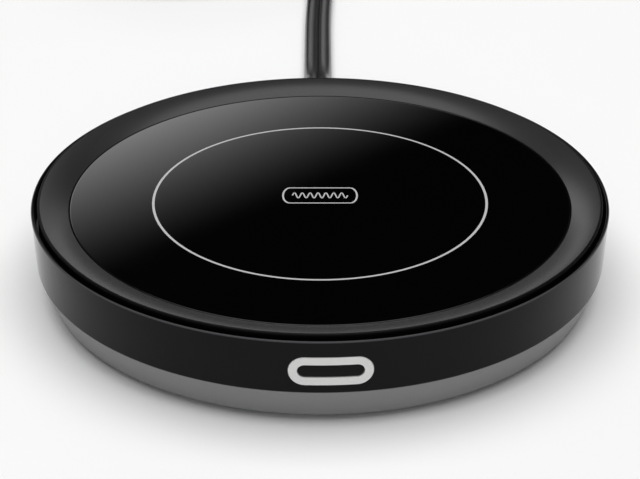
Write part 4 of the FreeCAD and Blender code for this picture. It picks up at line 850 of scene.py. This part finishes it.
def foot_tree():
    """Round rubber feet on points: a chamfered disc with a shallow ring pressed into its sole."""
    tree = Tree("rubber_feet", {"Radius": 0.006, "Height": 0.002, "Chamfer": 0.0004, "Ring": 0.0035})
    radius, height, chamfer, ring = [tree.given(label) for label in ("Radius", "Height", "Chamfer", "Ring")]
    sole = tree.cone(72, radius, radius - chamfer, chamfer)
    rest = tree.cylinder(72, radius, height - chamfer)
    rest = tree.moved(rest, tree.vector(0.0, 0.0, chamfer + (height - chamfer) * 0.5))
    inner = tree.cylinder(72, ring - chamfer, chamfer * 2.0)
    groove = tree.less(tree.cylinder(72, ring + chamfer, chamfer), inner)
    tree.finish(tree.less(tree.joined(sole, rest), groove), {})
    return tree


def rib_tree():
    """Rounded oval ribs on points along a taper, each scaled to its place."""
    tree = Tree("relief_ribs", {"Width": 0.0104, "Height": 0.0053, "Thickness": 0.0015, "Taper start": 0.0648,
                                "Taper length": 0.026, "Taper": 0.85})
    height = tree.given("Height")
    sides = tree.node("GeometryNodeCurvePrimitiveQuadrilateral", {}, {"Width": tree.given("Width"),
                                                                     "Height": height}).outputs[0]
    oval = tree.node("GeometryNodeFilletCurve", {"mode": "POLY"},
                     {"Curve": sides, "Count": 8, "Radius": height * 0.499}).outputs[0]
    face = tree.node("GeometryNodeFillCurve", {"mode": "NGONS"}, {"Curve": oval}).outputs[0]
    slab = tree.node("GeometryNodeExtrudeMesh", {}, {"Mesh": face, "Offset Scale": tree.given("Thickness")})
    back = tree.node("GeometryNodeFlipFaces", {}, {0: face}).outputs[0]
    closed = {"Geometry": tree.joined(slab.outputs[0], back)}
    merged = tree.node("GeometryNodeMergeByDistance", {}, closed).outputs[0]
    upright = tree.moved(merged, (0.0, 0.0, 0.0), (math.pi / 2, 0.0, 0.0))
    position = tree.node("GeometryNodeInputPosition").outputs[0]
    along = Field(tree, tree.node("ShaderNodeSeparateXYZ", {}, {0: position}).outputs[1])
    share = (along - tree.given("Taper start")) / tree.given("Taper length")
    amount = 1.0 - share * (1.0 - tree.given("Taper"))
    tree.finish(upright, {"Scale": tree.vector(amount, 1.0, amount)})
    return tree


def grip_tree():
    """Small upright bars on points, for the plug's two gripping sides."""
    tree = Tree("plug_grips", {"Bar": 0.0011, "Reach": 0.0007, "Tall": 0.0062})
    tree.finish(tree.box(tree.given("Bar"), tree.given("Reach"), tree.given("Tall")), {})
    return tree


# The flat lead
def smooth(fraction):
    return fraction * fraction * (3 - 2 * fraction)


def lying(roll):
    """The lead's middle above the table when it is rolled by an angle."""
    sizes = bpy.context.scene.mugwarmer_lead
    return sizes.lobe + (sizes.width / 2 - sizes.lobe) * math.sin(roll)


def coil_place(turns):
    """The coil's line: in on the lower layer, out again on the upper one."""
    sizes = bpy.context.scene.mugwarmer_lead
    radius = sizes.coil_radius - sizes.coil_pitch * min(turns, 4 - turns)
    climb = min(max((turns - 2) / 0.5 + 0.5, 0), 1)
    level = sizes.width / 2 + (sizes.width + sizes.layer_gap) * smooth(climb)
    angle = 2 * math.pi * turns
    return (radius * math.cos(angle) - sizes.coil_radius, radius * math.sin(angle) + sizes.coil_place, level)


def lead_route():
    """The route's points with the lead's roll at each, from inside the wall to the plug."""
    sizes = bpy.context.scene.mugwarmer_lead
    flat = sizes.lobe
    edge = sizes.width / 2
    top = edge + sizes.width + sizes.layer_gap
    quarter = math.pi / 2
    route = [
        ((0.0, 0.036, sizes.exit_level), 0.0),
        ((0.0, 0.070, sizes.exit_level), 0.0),
        ((-0.0006, 0.0963, sizes.exit_level), 0.0),
        ((-0.0006, 0.1073, flat), 0.0),
        ((-0.0006, 0.130, flat), 0.0),
        ((-0.0006, 0.152, flat), 0.0),
    ]
    for step in range(7):
        roll = quarter * smooth(step / 6)
        route.append(((0.0, 0.172 + 0.032 * step / 6, lying(roll) + 0.05 * MM), roll))
    route.append(((0.0, sizes.coil_place - sizes.width, edge), quarter))
    for step in range(65):
        route.append((coil_place(step / 16), quarter))
    route += [
        ((0.0, 0.2316, top), quarter),
        ((0.0, 0.2480, 0.0105), quarter * 0.93),
        ((-0.009, 0.2660, 0.0050), quarter * 0.75),
        ((-0.021, 0.2800, 0.0034), quarter * 0.5),
        ((-0.037, 0.2890, 0.0046), quarter * 0.2),
        ((0.010 - sizes.plug_start, sizes.plug_place, sizes.plug_level), 0.0),
        ((-sizes.plug_start, sizes.plug_place, sizes.plug_level), 0.0),
    ]
    return route


def lead_line(route):
    """Points on the smooth line through the route, and the roll at each."""
    curve = bpy.data.curves.new("lead_line", "CURVE")
    curve.dimensions = "3D"
    curve.resolution_u = 10
    spline = curve.splines.new("NURBS")
    spline.points.add(len(route) - 1)
    for point, stop in zip(spline.points, route):
        point.co = (*stop[0], 1.0)
    spline.order_u = 3
    spline.use_endpoint_u = True
    holder = linked("lead_line", curve)
    bpy.context.view_layer.update()
    mesh = bpy.data.meshes.new_from_object(holder)
    line = [vertex.co.copy() for vertex in mesh.vertices]
    bpy.data.objects.remove(holder)
    rolls = []
    for index in range(len(line)):
        share = index / (len(line) - 1) * (len(route) - 2) + 0.5
        share = min(max(share, 0), len(route) - 1)
        low = min(int(share), len(route) - 2)
        rolls.append(route[low][1] + (route[low + 1][1] - route[low][1]) * (share - low))
    return line, rolls


def lead_section(steps=12):
    """Half and half: two round wires side by side, joined at a narrow waist."""
    sizes = bpy.context.scene.mugwarmer_lead
    offset = sizes.width / 2 - sizes.lobe
    open_angle = math.acos(-offset / sizes.lobe)
    section = []
    for side in (1, -1):
        for step in range(steps + 1):
            angle = open_angle * (2 * step / steps - 1)
            across = offset + sizes.lobe * math.cos(angle)
            section.append((side * across, side * sizes.lobe * math.sin(angle)))
    return section


def swept(name, line, rolls, section, slot):
    """A section carried along a line and rolled about it."""
    loops = []
    for index, (place, roll) in enumerate(zip(line, rolls)):
        ahead = line[min(index + 1, len(line) - 1)] - line[max(index - 1, 0)]
        ahead.normalize()
        side = ahead.cross(Vector((0, 0, 1))).normalized()
        up = side.cross(ahead)
        wide = side * math.cos(roll) + up * math.sin(roll)
        thin = up * math.cos(roll) - side * math.sin(roll)
        loops.append([place + wide * across + thin * rise for across, rise in section])
    return skinned(name, loops, slot, sharp=50.0)


# Operators: one for each piece or group of like pieces
class MUGWARMER_OT_stage(bpy.types.Operator):
    """Build the pale floor, the soft lights and the camera"""
    bl_idname = "mugwarmer.stage"
    bl_label = "Stage"

    def execute(self, context):
        self.camera(context)
        self.floor(context)
        self.lights(context)
        return {"FINISHED"}

    def camera(self, context):
        sizes = context.scene.mugwarmer_stage
        data = bpy.data.cameras.new("photo_camera")
        data.sensor_width = 36.0
        data.lens = sizes.camera_lens
        data.clip_start = 0.01
        camera = linked("photo_camera", data)
        camera.location = (0.0, -sizes.camera_distance, sizes.camera_height)
        camera.rotation_euler = (math.pi / 2 - sizes.camera_pitch, 0.0, 0.0)
        context.scene.camera = camera

    def floor(self, context):
        floor = self.sheet("floor", [(-3.0, -3.0, 0.0), (3.0, -3.0, 0.0), (3.0, 3.0, 0.0), (-3.0, 3.0, 0.0)])
        finish = Finish("floor_paint", {"Roughness": 0.9, "Specular IOR Level": 0.0})
        tone = context.scene.mugwarmer_colours.floor
        finish.base(finish.mix(finish.noise(30.0, 2.0), shade(tone, 0.995), shade(tone, 1.005)))
        floor.data.materials.append(finish.material)

    def sheet(self, name, corners):
        mesh = bpy.data.meshes.new(name)
        mesh.from_pydata(corners, [], [(0, 1, 2, 3)])
        return linked(name, mesh)

    def lights(self, context):
        scene = context.scene
        sizes = scene.mugwarmer_stage
        scene.view_settings.view_transform = "Standard"
        world = bpy.data.worlds.new("surroundings")
        world.use_nodes = True
        background = world.node_tree.nodes["Background"]
        background.inputs[0].default_value = (1.0, 1.0, 1.0, 1.0)
        background.inputs[1].default_value = sizes.world
        scene.world = world
        self.lamp("overhead", (0.0, 0.05, 1.3), 1.6, sizes.key)
        self.lamp("front", (0.0, -1.4, 0.9), 1.0, sizes.fill)
        self.card()

    def lamp(self, name, place, size, power):
        """A square lamp that faces the body."""
        data = bpy.data.lights.new(name, "AREA")
        data.shape = "SQUARE"
        data.size = size
        data.energy = power
        lamp = linked(name, data)
        lamp.location = place
        lamp.rotation_euler = (-Vector(place)).to_track_quat("-Z", "Y").to_euler()

    def card(self):
        """A tall card behind, seen only in the glass: pale at its lower left, dark elsewhere."""
        card = self.sheet("gradient_card", [(-0.5, 1.0, 0.3), (0.5, 1.0, 0.3), (0.5, 1.0, 0.85),
                                            (-0.5, 1.0, 0.85)])
        card.visible_camera = False
        card.visible_shadow = False
        finish = Finish("gradient_card", {"Base Color": (0, 0, 0, 1), "Roughness": 1.0,
                                          "Specular IOR Level": 0.0, "Emission Strength": 1.0})
        tone = 0.3255 - (finish.axis("X") + 0.0865) * 1.84 - (finish.axis("Z") - 0.4813) * 3.79
        level = tone.maths("MAXIMUM", 0.0).maths("MINIMUM", 0.47) ** 2.2 * 9.0
        finish.feed(finish.shader.inputs["Emission Color"], level)
        card.data.materials.append(finish.material)


class MUGWARMER_OT_lower_base(bpy.types.Operator):
    """Build the grey lower shell with its foot and screw recesses"""
    bl_idname = "mugwarmer.lower_base"
    bl_label = "Grey lower shell"

    def execute(self, context):
        s = context.scene.mugwarmer_body
        outline = with_rounds([
            (0.0, s.foot_height, 0.0),
            (s.base_radius, s.foot_height, s.base_round),
            (s.split_radius, s.split_level, 0.15 * MM),
            (s.split_radius - BASE_WALL, s.split_level, 0.0),
            (s.base_radius + s.base_round - BASE_WALL, s.foot_height + BASE_FLOOR, 0.0),
            (0.0, s.foot_height + BASE_FLOOR, 0.0),
        ])
        piece = lathe("grey_lower_shell", outline, "grey_shell")
        cutters = []
        for index, place in enumerate(ring_places(s.foot_circle, 4, 45)):
            cutters.append(self.bed(f"foot_bed_{index}", *FOOT_BED, place, s.foot_height))
        for index, place in enumerate(ring_places(s.screw_circle, 4, 20)):
            cutters.append(self.bed(f"screw_bed_{index}", *SCREW_BED, place, s.foot_height))
            cutters.append(self.bed(f"screw_hole_{index}", *SCREW_HOLE, place, s.foot_height))
        level = context.scene.mugwarmer_lead.exit_level
        low = (-5.3 * MM, s.split_radius - 5.0 * MM, level - 2.75 * MM)
        cutters.append(box_cutter("lead_notch", low, (5.3 * MM, s.rim_radius + MM, s.split_level + MM)))
        cut_away(piece, cutters, "grey_shell")
        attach(piece, "base")
        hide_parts("lower_base")
        return {"FINISHED"}

    def bed(self, name, radius, depth, place, underside):
        """A round cutter into the underside."""
        return round_cutter(name, radius, place, -MM, underside + depth)


class MUGWARMER_OT_upper_housing(bpy.types.Operator):
    """Build the glossy dark upper shell with its window and inner deck"""
    bl_idname = "mugwarmer.upper_housing"
    bl_label = "Glossy upper shell"

    def execute(self, context):
        s = context.scene.mugwarmer_body
        b = context.scene.mugwarmer_button
        inner = s.wall_inner - s.deck_reach
        under = s.deck_level - DECK_THICKNESS
        outline = with_rounds([
            (s.split_radius, s.split_level, 0.12 * MM),
            (s.rim_radius, s.rim_level, s.lip_round),
            (s.lip_inner, s.rim_level, s.lip_round),
            (s.lip_inner, s.ledge_level, 0.0),
            (s.wall_inner, s.ledge_level, 0.0),
            (s.wall_inner, s.deck_level, 0.0),
            (inner, s.deck_level, 0.0),
            (inner, under, 0.0),
            (LAP_RADIUS - LAP_WIDTH, under, 0.0),
            (LAP_RADIUS - LAP_WIDTH, s.split_level - LAP_DEPTH, 0.0),
            (LAP_RADIUS, s.split_level - LAP_DEPTH, 0.0),
            (LAP_RADIUS, s.split_level, 0.0),
        ])
        piece = lathe("glossy_upper_shell", outline, "gloss_black_shell")
        width, height = b.window_width + 2 * WINDOW_GAP, b.window_height + 2 * WINDOW_GAP
        cutters = [prism_pill("window", width, height, *WINDOW_REACH)]
        level = context.scene.mugwarmer_lead.exit_level
        low = (-7.3 * MM, s.split_radius - 7.0 * MM, s.split_level - 2.0 * MM)
        high = (7.3 * MM, s.split_radius - 1.5 * MM, level + 3.2 * MM)
        cutters.append(box_cutter("relief_recess", low, high))
        for index, place in enumerate(ring_places(s.post_circle, 4, 45)):
            cutters.append(round_cutter(f"post_hole_{index}", POST_HOLE, place, *POST_LEVELS))
        cut_away(piece, cutters, "gloss_black_shell")
        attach(piece, "base")
        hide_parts("upper_housing")
        return {"FINISHED"}


class MUGWARMER_OT_feet(bpy.types.Operator):
    """Build the four rubber feet"""
    bl_idname = "mugwarmer.feet"
    bl_label = "Rubber feet"

    def execute(self, context):
        s = context.scene.mugwarmer_body
        places = [(x, y, 0.0) for x, y in ring_places(s.foot_circle, 4, 45)]
        piece = grown("round_rubber_feet", places, foot_tree(), {"Radius": FOOT_RADIUS}, "foot_rubber")
        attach(piece, "base")
        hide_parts("rubber_feet")
        return {"FINISHED"}


class MUGWARMER_OT_screws(bpy.types.Operator):
    """Build every set of cross-head screws"""
    bl_idname = "mugwarmer.screws"
    bl_label = "Screws"

    def execute(self, context):
        tree = screw_tree()
        for node, (head, height, shank, reach, facing) in SCREW_SETS.items():
            values = {"Head radius": head * MM, "Head height": height * MM, "Shank radius": shank * MM,
                      "Shank length": reach * MM, "Facing": facing}
            places = screw_places(node, height * MM, facing)
            piece = grown(f"cross_head_{node}", places, tree, values, "screw_steel", sharp=30.0)
            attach(piece, body_of_node(node))
            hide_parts(node)
        return {"FINISHED"}


class MUGWARMER_OT_collar(bpy.types.Operator):
    """Build the satin collar that slopes down to the glass"""
    bl_idname = "mugwarmer.collar"
    bl_label = "Collar"

    def execute(self, context):
        s = context.scene.mugwarmer_plate
        outline = with_rounds(self.slope(s) + [
            (s.collar_radius, s.collar_under, 0.2 * MM),
            (s.seat_radius + COLLAR_SKIRT, s.collar_under, 0.0),
            (s.seat_radius + COLLAR_SKIRT, LEDGE_LEVELS[0], 0.0),
            (s.seat_radius - LEDGE_WIDTH, LEDGE_LEVELS[0], 0.0),
            (s.seat_radius - LEDGE_WIDTH, LEDGE_LEVELS[1], 0.0),
            (s.seat_radius, LEDGE_LEVELS[1], 0.0),
        ])
        piece = lathe("sloping_collar", outline, "satin_collar")
        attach(piece, "plate")
        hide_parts("plate_collar")
        return {"FINISHED"}

    def slope(self, s, steps=10):
        """The collar's crowned top, from the glass up to its outer edge."""
        width = s.collar_radius - s.seat_radius
        rise = s.collar_top - s.glass_top
        corners = []
        for step in range(steps + 1):
            share = step / steps
            level = s.glass_top + rise * share + 4 * s.collar_crown * share * (1 - share)
            corners.append((s.seat_radius + width * share, level, 0.0))
        corners[0] = corners[0][:2] + (HOLD,)
        corners[-1] = corners[-1][:2] + (s.collar_round,)
        return corners


class MUGWARMER_OT_glass(bpy.types.Operator):
    """Build the black glass and its silver print"""
    bl_idname = "mugwarmer.glass"
    bl_label = "Glass and print"

    def execute(self, context):
        s = context.scene.mugwarmer_plate
        bed = s.glass_top - PRINT_PROUD
        outline = with_rounds([
            (0.0, bed, 0.0),
            (0.0, s.glass_top - s.glass_thickness, 0.0),
            (s.glass_radius, s.glass_top - s.glass_thickness, 0.15 * MM),
            (s.glass_radius, bed, 0.15 * MM),
        ])
        glass = lathe("black_glass_disc", outline, "black_glass")
        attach(glass, "plate")
        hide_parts("glass_plate")
        loops = [self.strip(self.circle(s.ring_radius, s.ring_line)),
                 self.strip(self.badge(s)), self.strip(self.wave(s), closed=False)]
        points = []
        faces = []
        for strip_points, strip_faces in loops:
            faces += [tuple(len(points) + index for index in face) for face in strip_faces]
            points += strip_points
        silver = mesh_piece("silver_lines", points, faces, "silver_print")
        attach(silver, "plate")
        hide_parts("glass_print")
        return {"FINISHED"}

    def circle(self, radius, line):
        return [((radius + half) * math.cos(angle), (radius + half) * math.sin(angle))
                for angle in around(360) for half in (-line / 2, line / 2)]

    def badge(self, s):
        """The outline's inner and outer edge, point by point."""
        outer = self.badge_edge(s.badge_width / 2, s.badge_depth / 2, s.badge_bulge)
        inner = self.badge_edge(s.badge_width / 2 - s.badge_line, s.badge_depth / 2 - s.badge_line,
                                s.badge_bulge - s.badge_line / 2)
        return [(x, y + s.badge_shift) for pair in zip(inner, outer) for x, y in pair]

    def badge_edge(self, half_width, half_depth, bulge):
        edge = []
        for side in (1, -1):
            for step in range(25):
                angle = -math.pi / 2 + math.pi * step / 24
                edge.append((side * (half_width - bulge + bulge * math.cos(angle)),
                             side * half_depth * math.sin(angle)))
        return edge

    def wave(self, s, steps=240, waves=7):
        """A plain wave across the middle of the outline."""
        places = []
        half = s.badge_line * 0.4
        pace = 2 * math.pi * waves
        for step in range(steps + 1):
            share = step / steps
            x = (share - 0.5) * s.wave_width
            y = s.wave_height / 2 * math.sin(pace * share) + s.badge_shift
            lean = s.wave_height / 2 * math.cos(pace * share) * pace / s.wave_width
            across = Vector((-lean, 1.0)).normalized() * half
            places += [(x - across.x, y - across.y), (x + across.x, y + across.y)]
        return places

    def strip(self, edges, closed=True):
        """A thin raised strip between pairs of inner and outer points."""
        s = bpy.context.scene.mugwarmer_plate
        top = s.glass_top
        low = top - PRINT_DEPTH
        pairs = len(edges) // 2
        points = []
        for inner, outer in zip(edges[::2], edges[1::2]):
            points += [(*inner, low), (*outer, low), (*outer, top), (*inner, top)]
        faces = bands(pairs, 4, closed)
        if not closed:
            faces += [(0, 1, 2, 3), tuple(4 * (pairs - 1) + index for index in (3, 2, 1, 0))]
        return points, faces


class MUGWARMER_OT_button(bpy.types.Operator):
    """Build the pale light ring and the push button inside it"""
    bl_idname = "mugwarmer.button"
    bl_label = "Light ring and button"

    def execute(self, context):
        s = context.scene.mugwarmer_button
        ring = skinned("pale_light_ring", self.ring_loops(s), "pale_diffuser", closed=True)
        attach(ring, "base")
        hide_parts("light_ring")
        button = skinned("push_button", self.button_loops(s), "gloss_black_shell")
        leg = box_cutter("button_leg", (s.offset - LEG_HALF, -FLANGE_RADIUS, LEG_FOOT),
                         (s.offset + LEG_HALF, MM - FLANGE_RADIUS, s.level))
        joined_into(button, [leg], "gloss_black_shell")
        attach(button, "button")
        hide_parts("power_button")
        return {"FINISHED"}

    def rounded_steps(self, radius, steps=5):
        """Inset and drop of points round a quarter of an edge."""
        angles = [math.pi / 2 * step / steps for step in range(steps + 1)]
        return [(radius * (1 - math.cos(angle)), radius * (1 - math.sin(angle))) for angle in angles]

    def ring_loops(self, s):
        quarter = self.rounded_steps(s.edge_round)
        flat = s.edge_round + 0.08 * MM
        profile = [(0.0, RING_BACK)] + [(inset, drop - s.proud) for inset, drop in quarter]
        profile += [(flat, -s.proud), (s.stroke - flat, -s.proud)]
        profile += [(s.stroke - inset, drop - s.proud) for inset, drop in reversed(quarter)]
        profile.append((s.stroke, RING_BACK))
        loops = []
        for inset, depth in profile:
            outline = pill_outline(s.window_width - 2 * inset, s.window_height - 2 * inset)
            loops.append(on_wall(outline, depth))
        return loops

    def button_loops(self, s):
        width = s.window_width - 2 * s.stroke - 2 * s.clearance
        height = s.window_height - 2 * s.stroke - 2 * s.clearance
        quarter = self.rounded_steps(s.edge_round)
        front, back = FLANGE_DEPTHS
        profile = [(-FLANGE_WIDTH, back), (-FLANGE_WIDTH, front), (0.0, front)]
        profile += [(inset, drop + s.proud) for inset, drop in quarter]
        profile += [(share * height, s.proud) for share in (0.25, 0.35, 0.44, 0.49)]
        return [on_wall(pill_outline(width - 2 * inset, height - 2 * inset), depth)
                for inset, depth in profile]


class MUGWARMER_OT_lead(bpy.types.Operator):
    """Build the flat lead, its strain relief and its plug"""
    bl_idname = "mugwarmer.lead"
    bl_label = "Flat lead, strain relief and plug"

    def execute(self, context):
        s = context.scene.mugwarmer_lead
        line, rolls = lead_line(lead_route())
        lead = swept("flat_twin_lead", line, rolls, lead_section(), "cord_cover")
        relief = self.strain_relief(context)
        plug = self.plug(s)
        blades = self.blades(s)
        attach(lead, "base")
        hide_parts("cord_lead", "cord_coil", "cord_tail")
        return {"FINISHED"}

    def oval(self, width, height, y, level):
        """A flat-sided oval across the lead."""
        return [(across, y, level + up) for across, up in pill_outline(width, height, 12, 1)]

    def strain_relief(self, context):
        s = context.scene.mugwarmer_lead
        body = context.scene.mugwarmer_body
        wall = body.split_radius
        level = s.exit_level
        end = wall + s.relief_length
        # Place along the lead in metres, then width and height in millimetres
        stations = (
            (wall - 6.2 * MM, 13.4, 5.4), (wall - 4.7 * MM, 13.4, 5.4), (wall - 4.6 * MM, 10.3, 5.2),
            (wall + 0.5 * MM, 10.3, 5.2), (wall + 1.2 * MM, 10.0, 5.0), (wall + 1.4 * MM, 9.1, 4.5),
            (end - 3.0 * MM, 8.3, 4.3), (end - 2.8 * MM, 8.8, 4.8), (end - 0.4 * MM, 8.7, 4.8),
            (end, 8.2, 4.4),
        )
        loops = [self.oval(width * MM, height * MM, y, level) for y, width, height in stations]
        core = skinned("strain_relief_core", loops, "cord_cover")
        count = int((s.relief_length - 5.0 * MM) / s.rib_pitch)
        places = [(0.0, wall + 2.9 * MM + index * s.rib_pitch, level) for index in range(count)]
        values = {"Width": 10.3 * MM, "Height": 5.2 * MM, "Thickness": 1.5 * MM, "Taper start": wall,
                  "Taper length": s.relief_length, "Taper": 0.86}
        ribs = grown("strain_relief_ribs", places, rib_tree(), values, "cord_cover", 0.2 * MM)
        relief = joined_into(core, [ribs], "cord_cover")
        relief.name = "ribbed_strain_relief"
        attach(relief, "base")
        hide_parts("strain_relief")
        return relief

    def plug(self, s, steps=48):
        """Moulded plug: a neck that swells into a rounded block, with grip bars along its sides."""
        loops = [self.block_loop(s, step / steps) for step in range(steps + 1)]
        plug = skinned("moulded_plug", loops, "cord_cover")
        grips = grown("plug_grips", self.grip_places(s), grip_tree(), {}, "cord_cover", 0.15 * MM)
        plug = joined_into(plug, [grips], "cord_cover")
        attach(plug, "base")
        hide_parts("plug_body")
        return plug

    def plug_size(self, t):
        """Width and height in millimetres along the plug, from its neck to its face."""
        if t < 0.32:
            grow = smooth(t / 0.32)
            width, height = 10.2 + 8.6 * grow, 6.4 + 5.4 * grow
        else:
            grow = smooth((t - 0.32) / 0.68)
            grow = min(1.0, grow * 1.35)
            width, height = 18.8 + 5.2 * grow, 11.8 + 3.2 * grow
        if t > 0.96:
            width -= (t - 0.96) / 0.04 * 0.7
            height -= (t - 0.96) / 0.04 * 0.7
        return width, height

    def block_loop(self, s, t):
        """A rounded rectangle across the plug."""
        width, height = self.plug_size(t)
        radius = min(4.0, height * 0.42)
        corners = [(-width / 2, -height / 2, radius), (width / 2, -height / 2, radius),
                   (width / 2, height / 2, radius), (-width / 2, height / 2, radius)]
        return [(-s.plug_start - s.plug_length * t, s.plug_place + across * MM, s.plug_level + up * MM)
                for across, up in with_rounds(corners, 8, 0.12)]

    def grip_places(self, s):
        places = []
        for side in (-1, 1):
            for index in range(5):
                t = 0.36 + 0.09 * index
                reach = (self.plug_size(t)[0] / 2 - 0.1) * MM
                places.append((-s.plug_start - s.plug_length * t, s.plug_place + side * reach, s.plug_level))
        return places

    def blades(self, s):
        """Two flat blades with rounded tips and a round hole each."""
        root, tip = BLADE_ENDS
        low, high = s.plug_level - BLADE_HALF_HEIGHT, s.plug_level + BLADE_HALF_HEIGHT
        outline = with_rounds([(root, low, 0.0), (root, high, 0.0),
                               (tip, high, 1.6 * MM), (tip, low, 1.6 * MM)])
        made = []
        for side in (-1, 1):
            y = s.plug_place + side * BLADE_OFFSET
            loops = [[(x, y + reach * BLADE_HALF_THICK, z) for x, z in outline] for reach in (-1, 1)]
            blade = skinned(f"blade_{side}", loops, "blade_brass")
            hole = [[(BLADE_HOLE_PLACE + BLADE_HOLE * math.cos(angle), y + reach * 2 * MM,
                      s.plug_level + BLADE_HOLE * math.sin(angle)) for angle in around(32)]
                    for reach in (-1, 1)]
            made.append(cut_away(blade, [skinned("blade_hole", hole, "blade_brass")], "blade_brass"))
        blades = joined_into(made[0], made[1:], "blade_brass")
        blades.name = "plug_contact_blades"
        edge = blades.modifiers.new("Edges", "BEVEL")
        edge.width = 0.12 * MM
        edge.segments = 2
        edge.limit_method = "ANGLE"
        settled(blades)
        smoothed(blades.data)
        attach(blades, "base")
        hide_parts("plug_blades")
        return blades


def body_of_node(node):
    for body, members in frame["record"]["behaviour"]["bodies"].items():
        if node in members:
            return body
    raise ValueError(node)


class MUGWARMER_OT_inside(bpy.types.Operator):
    """Give every carried-over inner piece its finish"""
    bl_idname = "mugwarmer.inside"
    bl_label = "Finishes of the inner pieces"

    def execute(self, context):
        slots = {part["node"]: part["material_slot"] for part in frame["record"]["subparts"]}
        for node, thing in frame["nodes"].items():
            if node in REPLACED:
                continue
            material = finish_of(slots[node])
            if not thing.material_slots:
                raise RuntimeError(f"{node} has no material slot")
            for holder in thing.material_slots:
                holder.link = "OBJECT"
                holder.material = material
        return {"FINISHED"}


class MUGWARMER_PT_panel(bpy.types.Panel):
    """Lists the sizes, colours and pieces"""
    bl_idname = "MUGWARMER_PT_panel"
    bl_label = "Mug Warmer"
    bl_space_type = "VIEW_3D"
    bl_region_type = "UI"
    bl_category = "Mug Warmer"

    def draw(self, context):
        layout = self.layout
        for name in SIZE_GROUPS:
            group = getattr(context.scene, name)
            box = layout.box()
            box.label(text=name.replace("mugwarmer_", "").title())
            for prop in group.__annotations__:
                box.prop(group, prop)
        for operator in OPERATORS:
            layout.operator(operator.bl_idname)


OPERATORS = (MUGWARMER_OT_stage, MUGWARMER_OT_lower_base, MUGWARMER_OT_upper_housing, MUGWARMER_OT_feet,
             MUGWARMER_OT_screws, MUGWARMER_OT_collar, MUGWARMER_OT_glass, MUGWARMER_OT_button,
             MUGWARMER_OT_lead, MUGWARMER_OT_inside)


def register():
    MADE.clear()
    for group in SIZE_GROUPS.values():
        bpy.utils.register_class(group)
    for name, group in SIZE_GROUPS.items():
        setattr(bpy.types.Scene, name, PointerProperty(type=group))
    for operator in OPERATORS:
        bpy.utils.register_class(operator)
    bpy.utils.register_class(MUGWARMER_PT_panel)


def unregister():
    bpy.utils.unregister_class(MUGWARMER_PT_panel)
    for operator in reversed(OPERATORS):
        bpy.utils.unregister_class(operator)
    for name, group in reversed(list(SIZE_GROUPS.items())):
        delattr(bpy.types.Scene, name)
        bpy.utils.unregister_class(group)


def main():
    register()
    bpy.ops.mugwarmer.stage()
    bpy.ops.mugwarmer.lead()
    bpy.ops.mugwarmer.lower_base()
    bpy.ops.mugwarmer.upper_housing()
    bpy.ops.mugwarmer.feet()
    bpy.ops.mugwarmer.screws()
    bpy.ops.mugwarmer.collar()
    bpy.ops.mugwarmer.glass()
    bpy.ops.mugwarmer.button()
    bpy.ops.mugwarmer.inside()


if __name__ == "__main__":
    main()
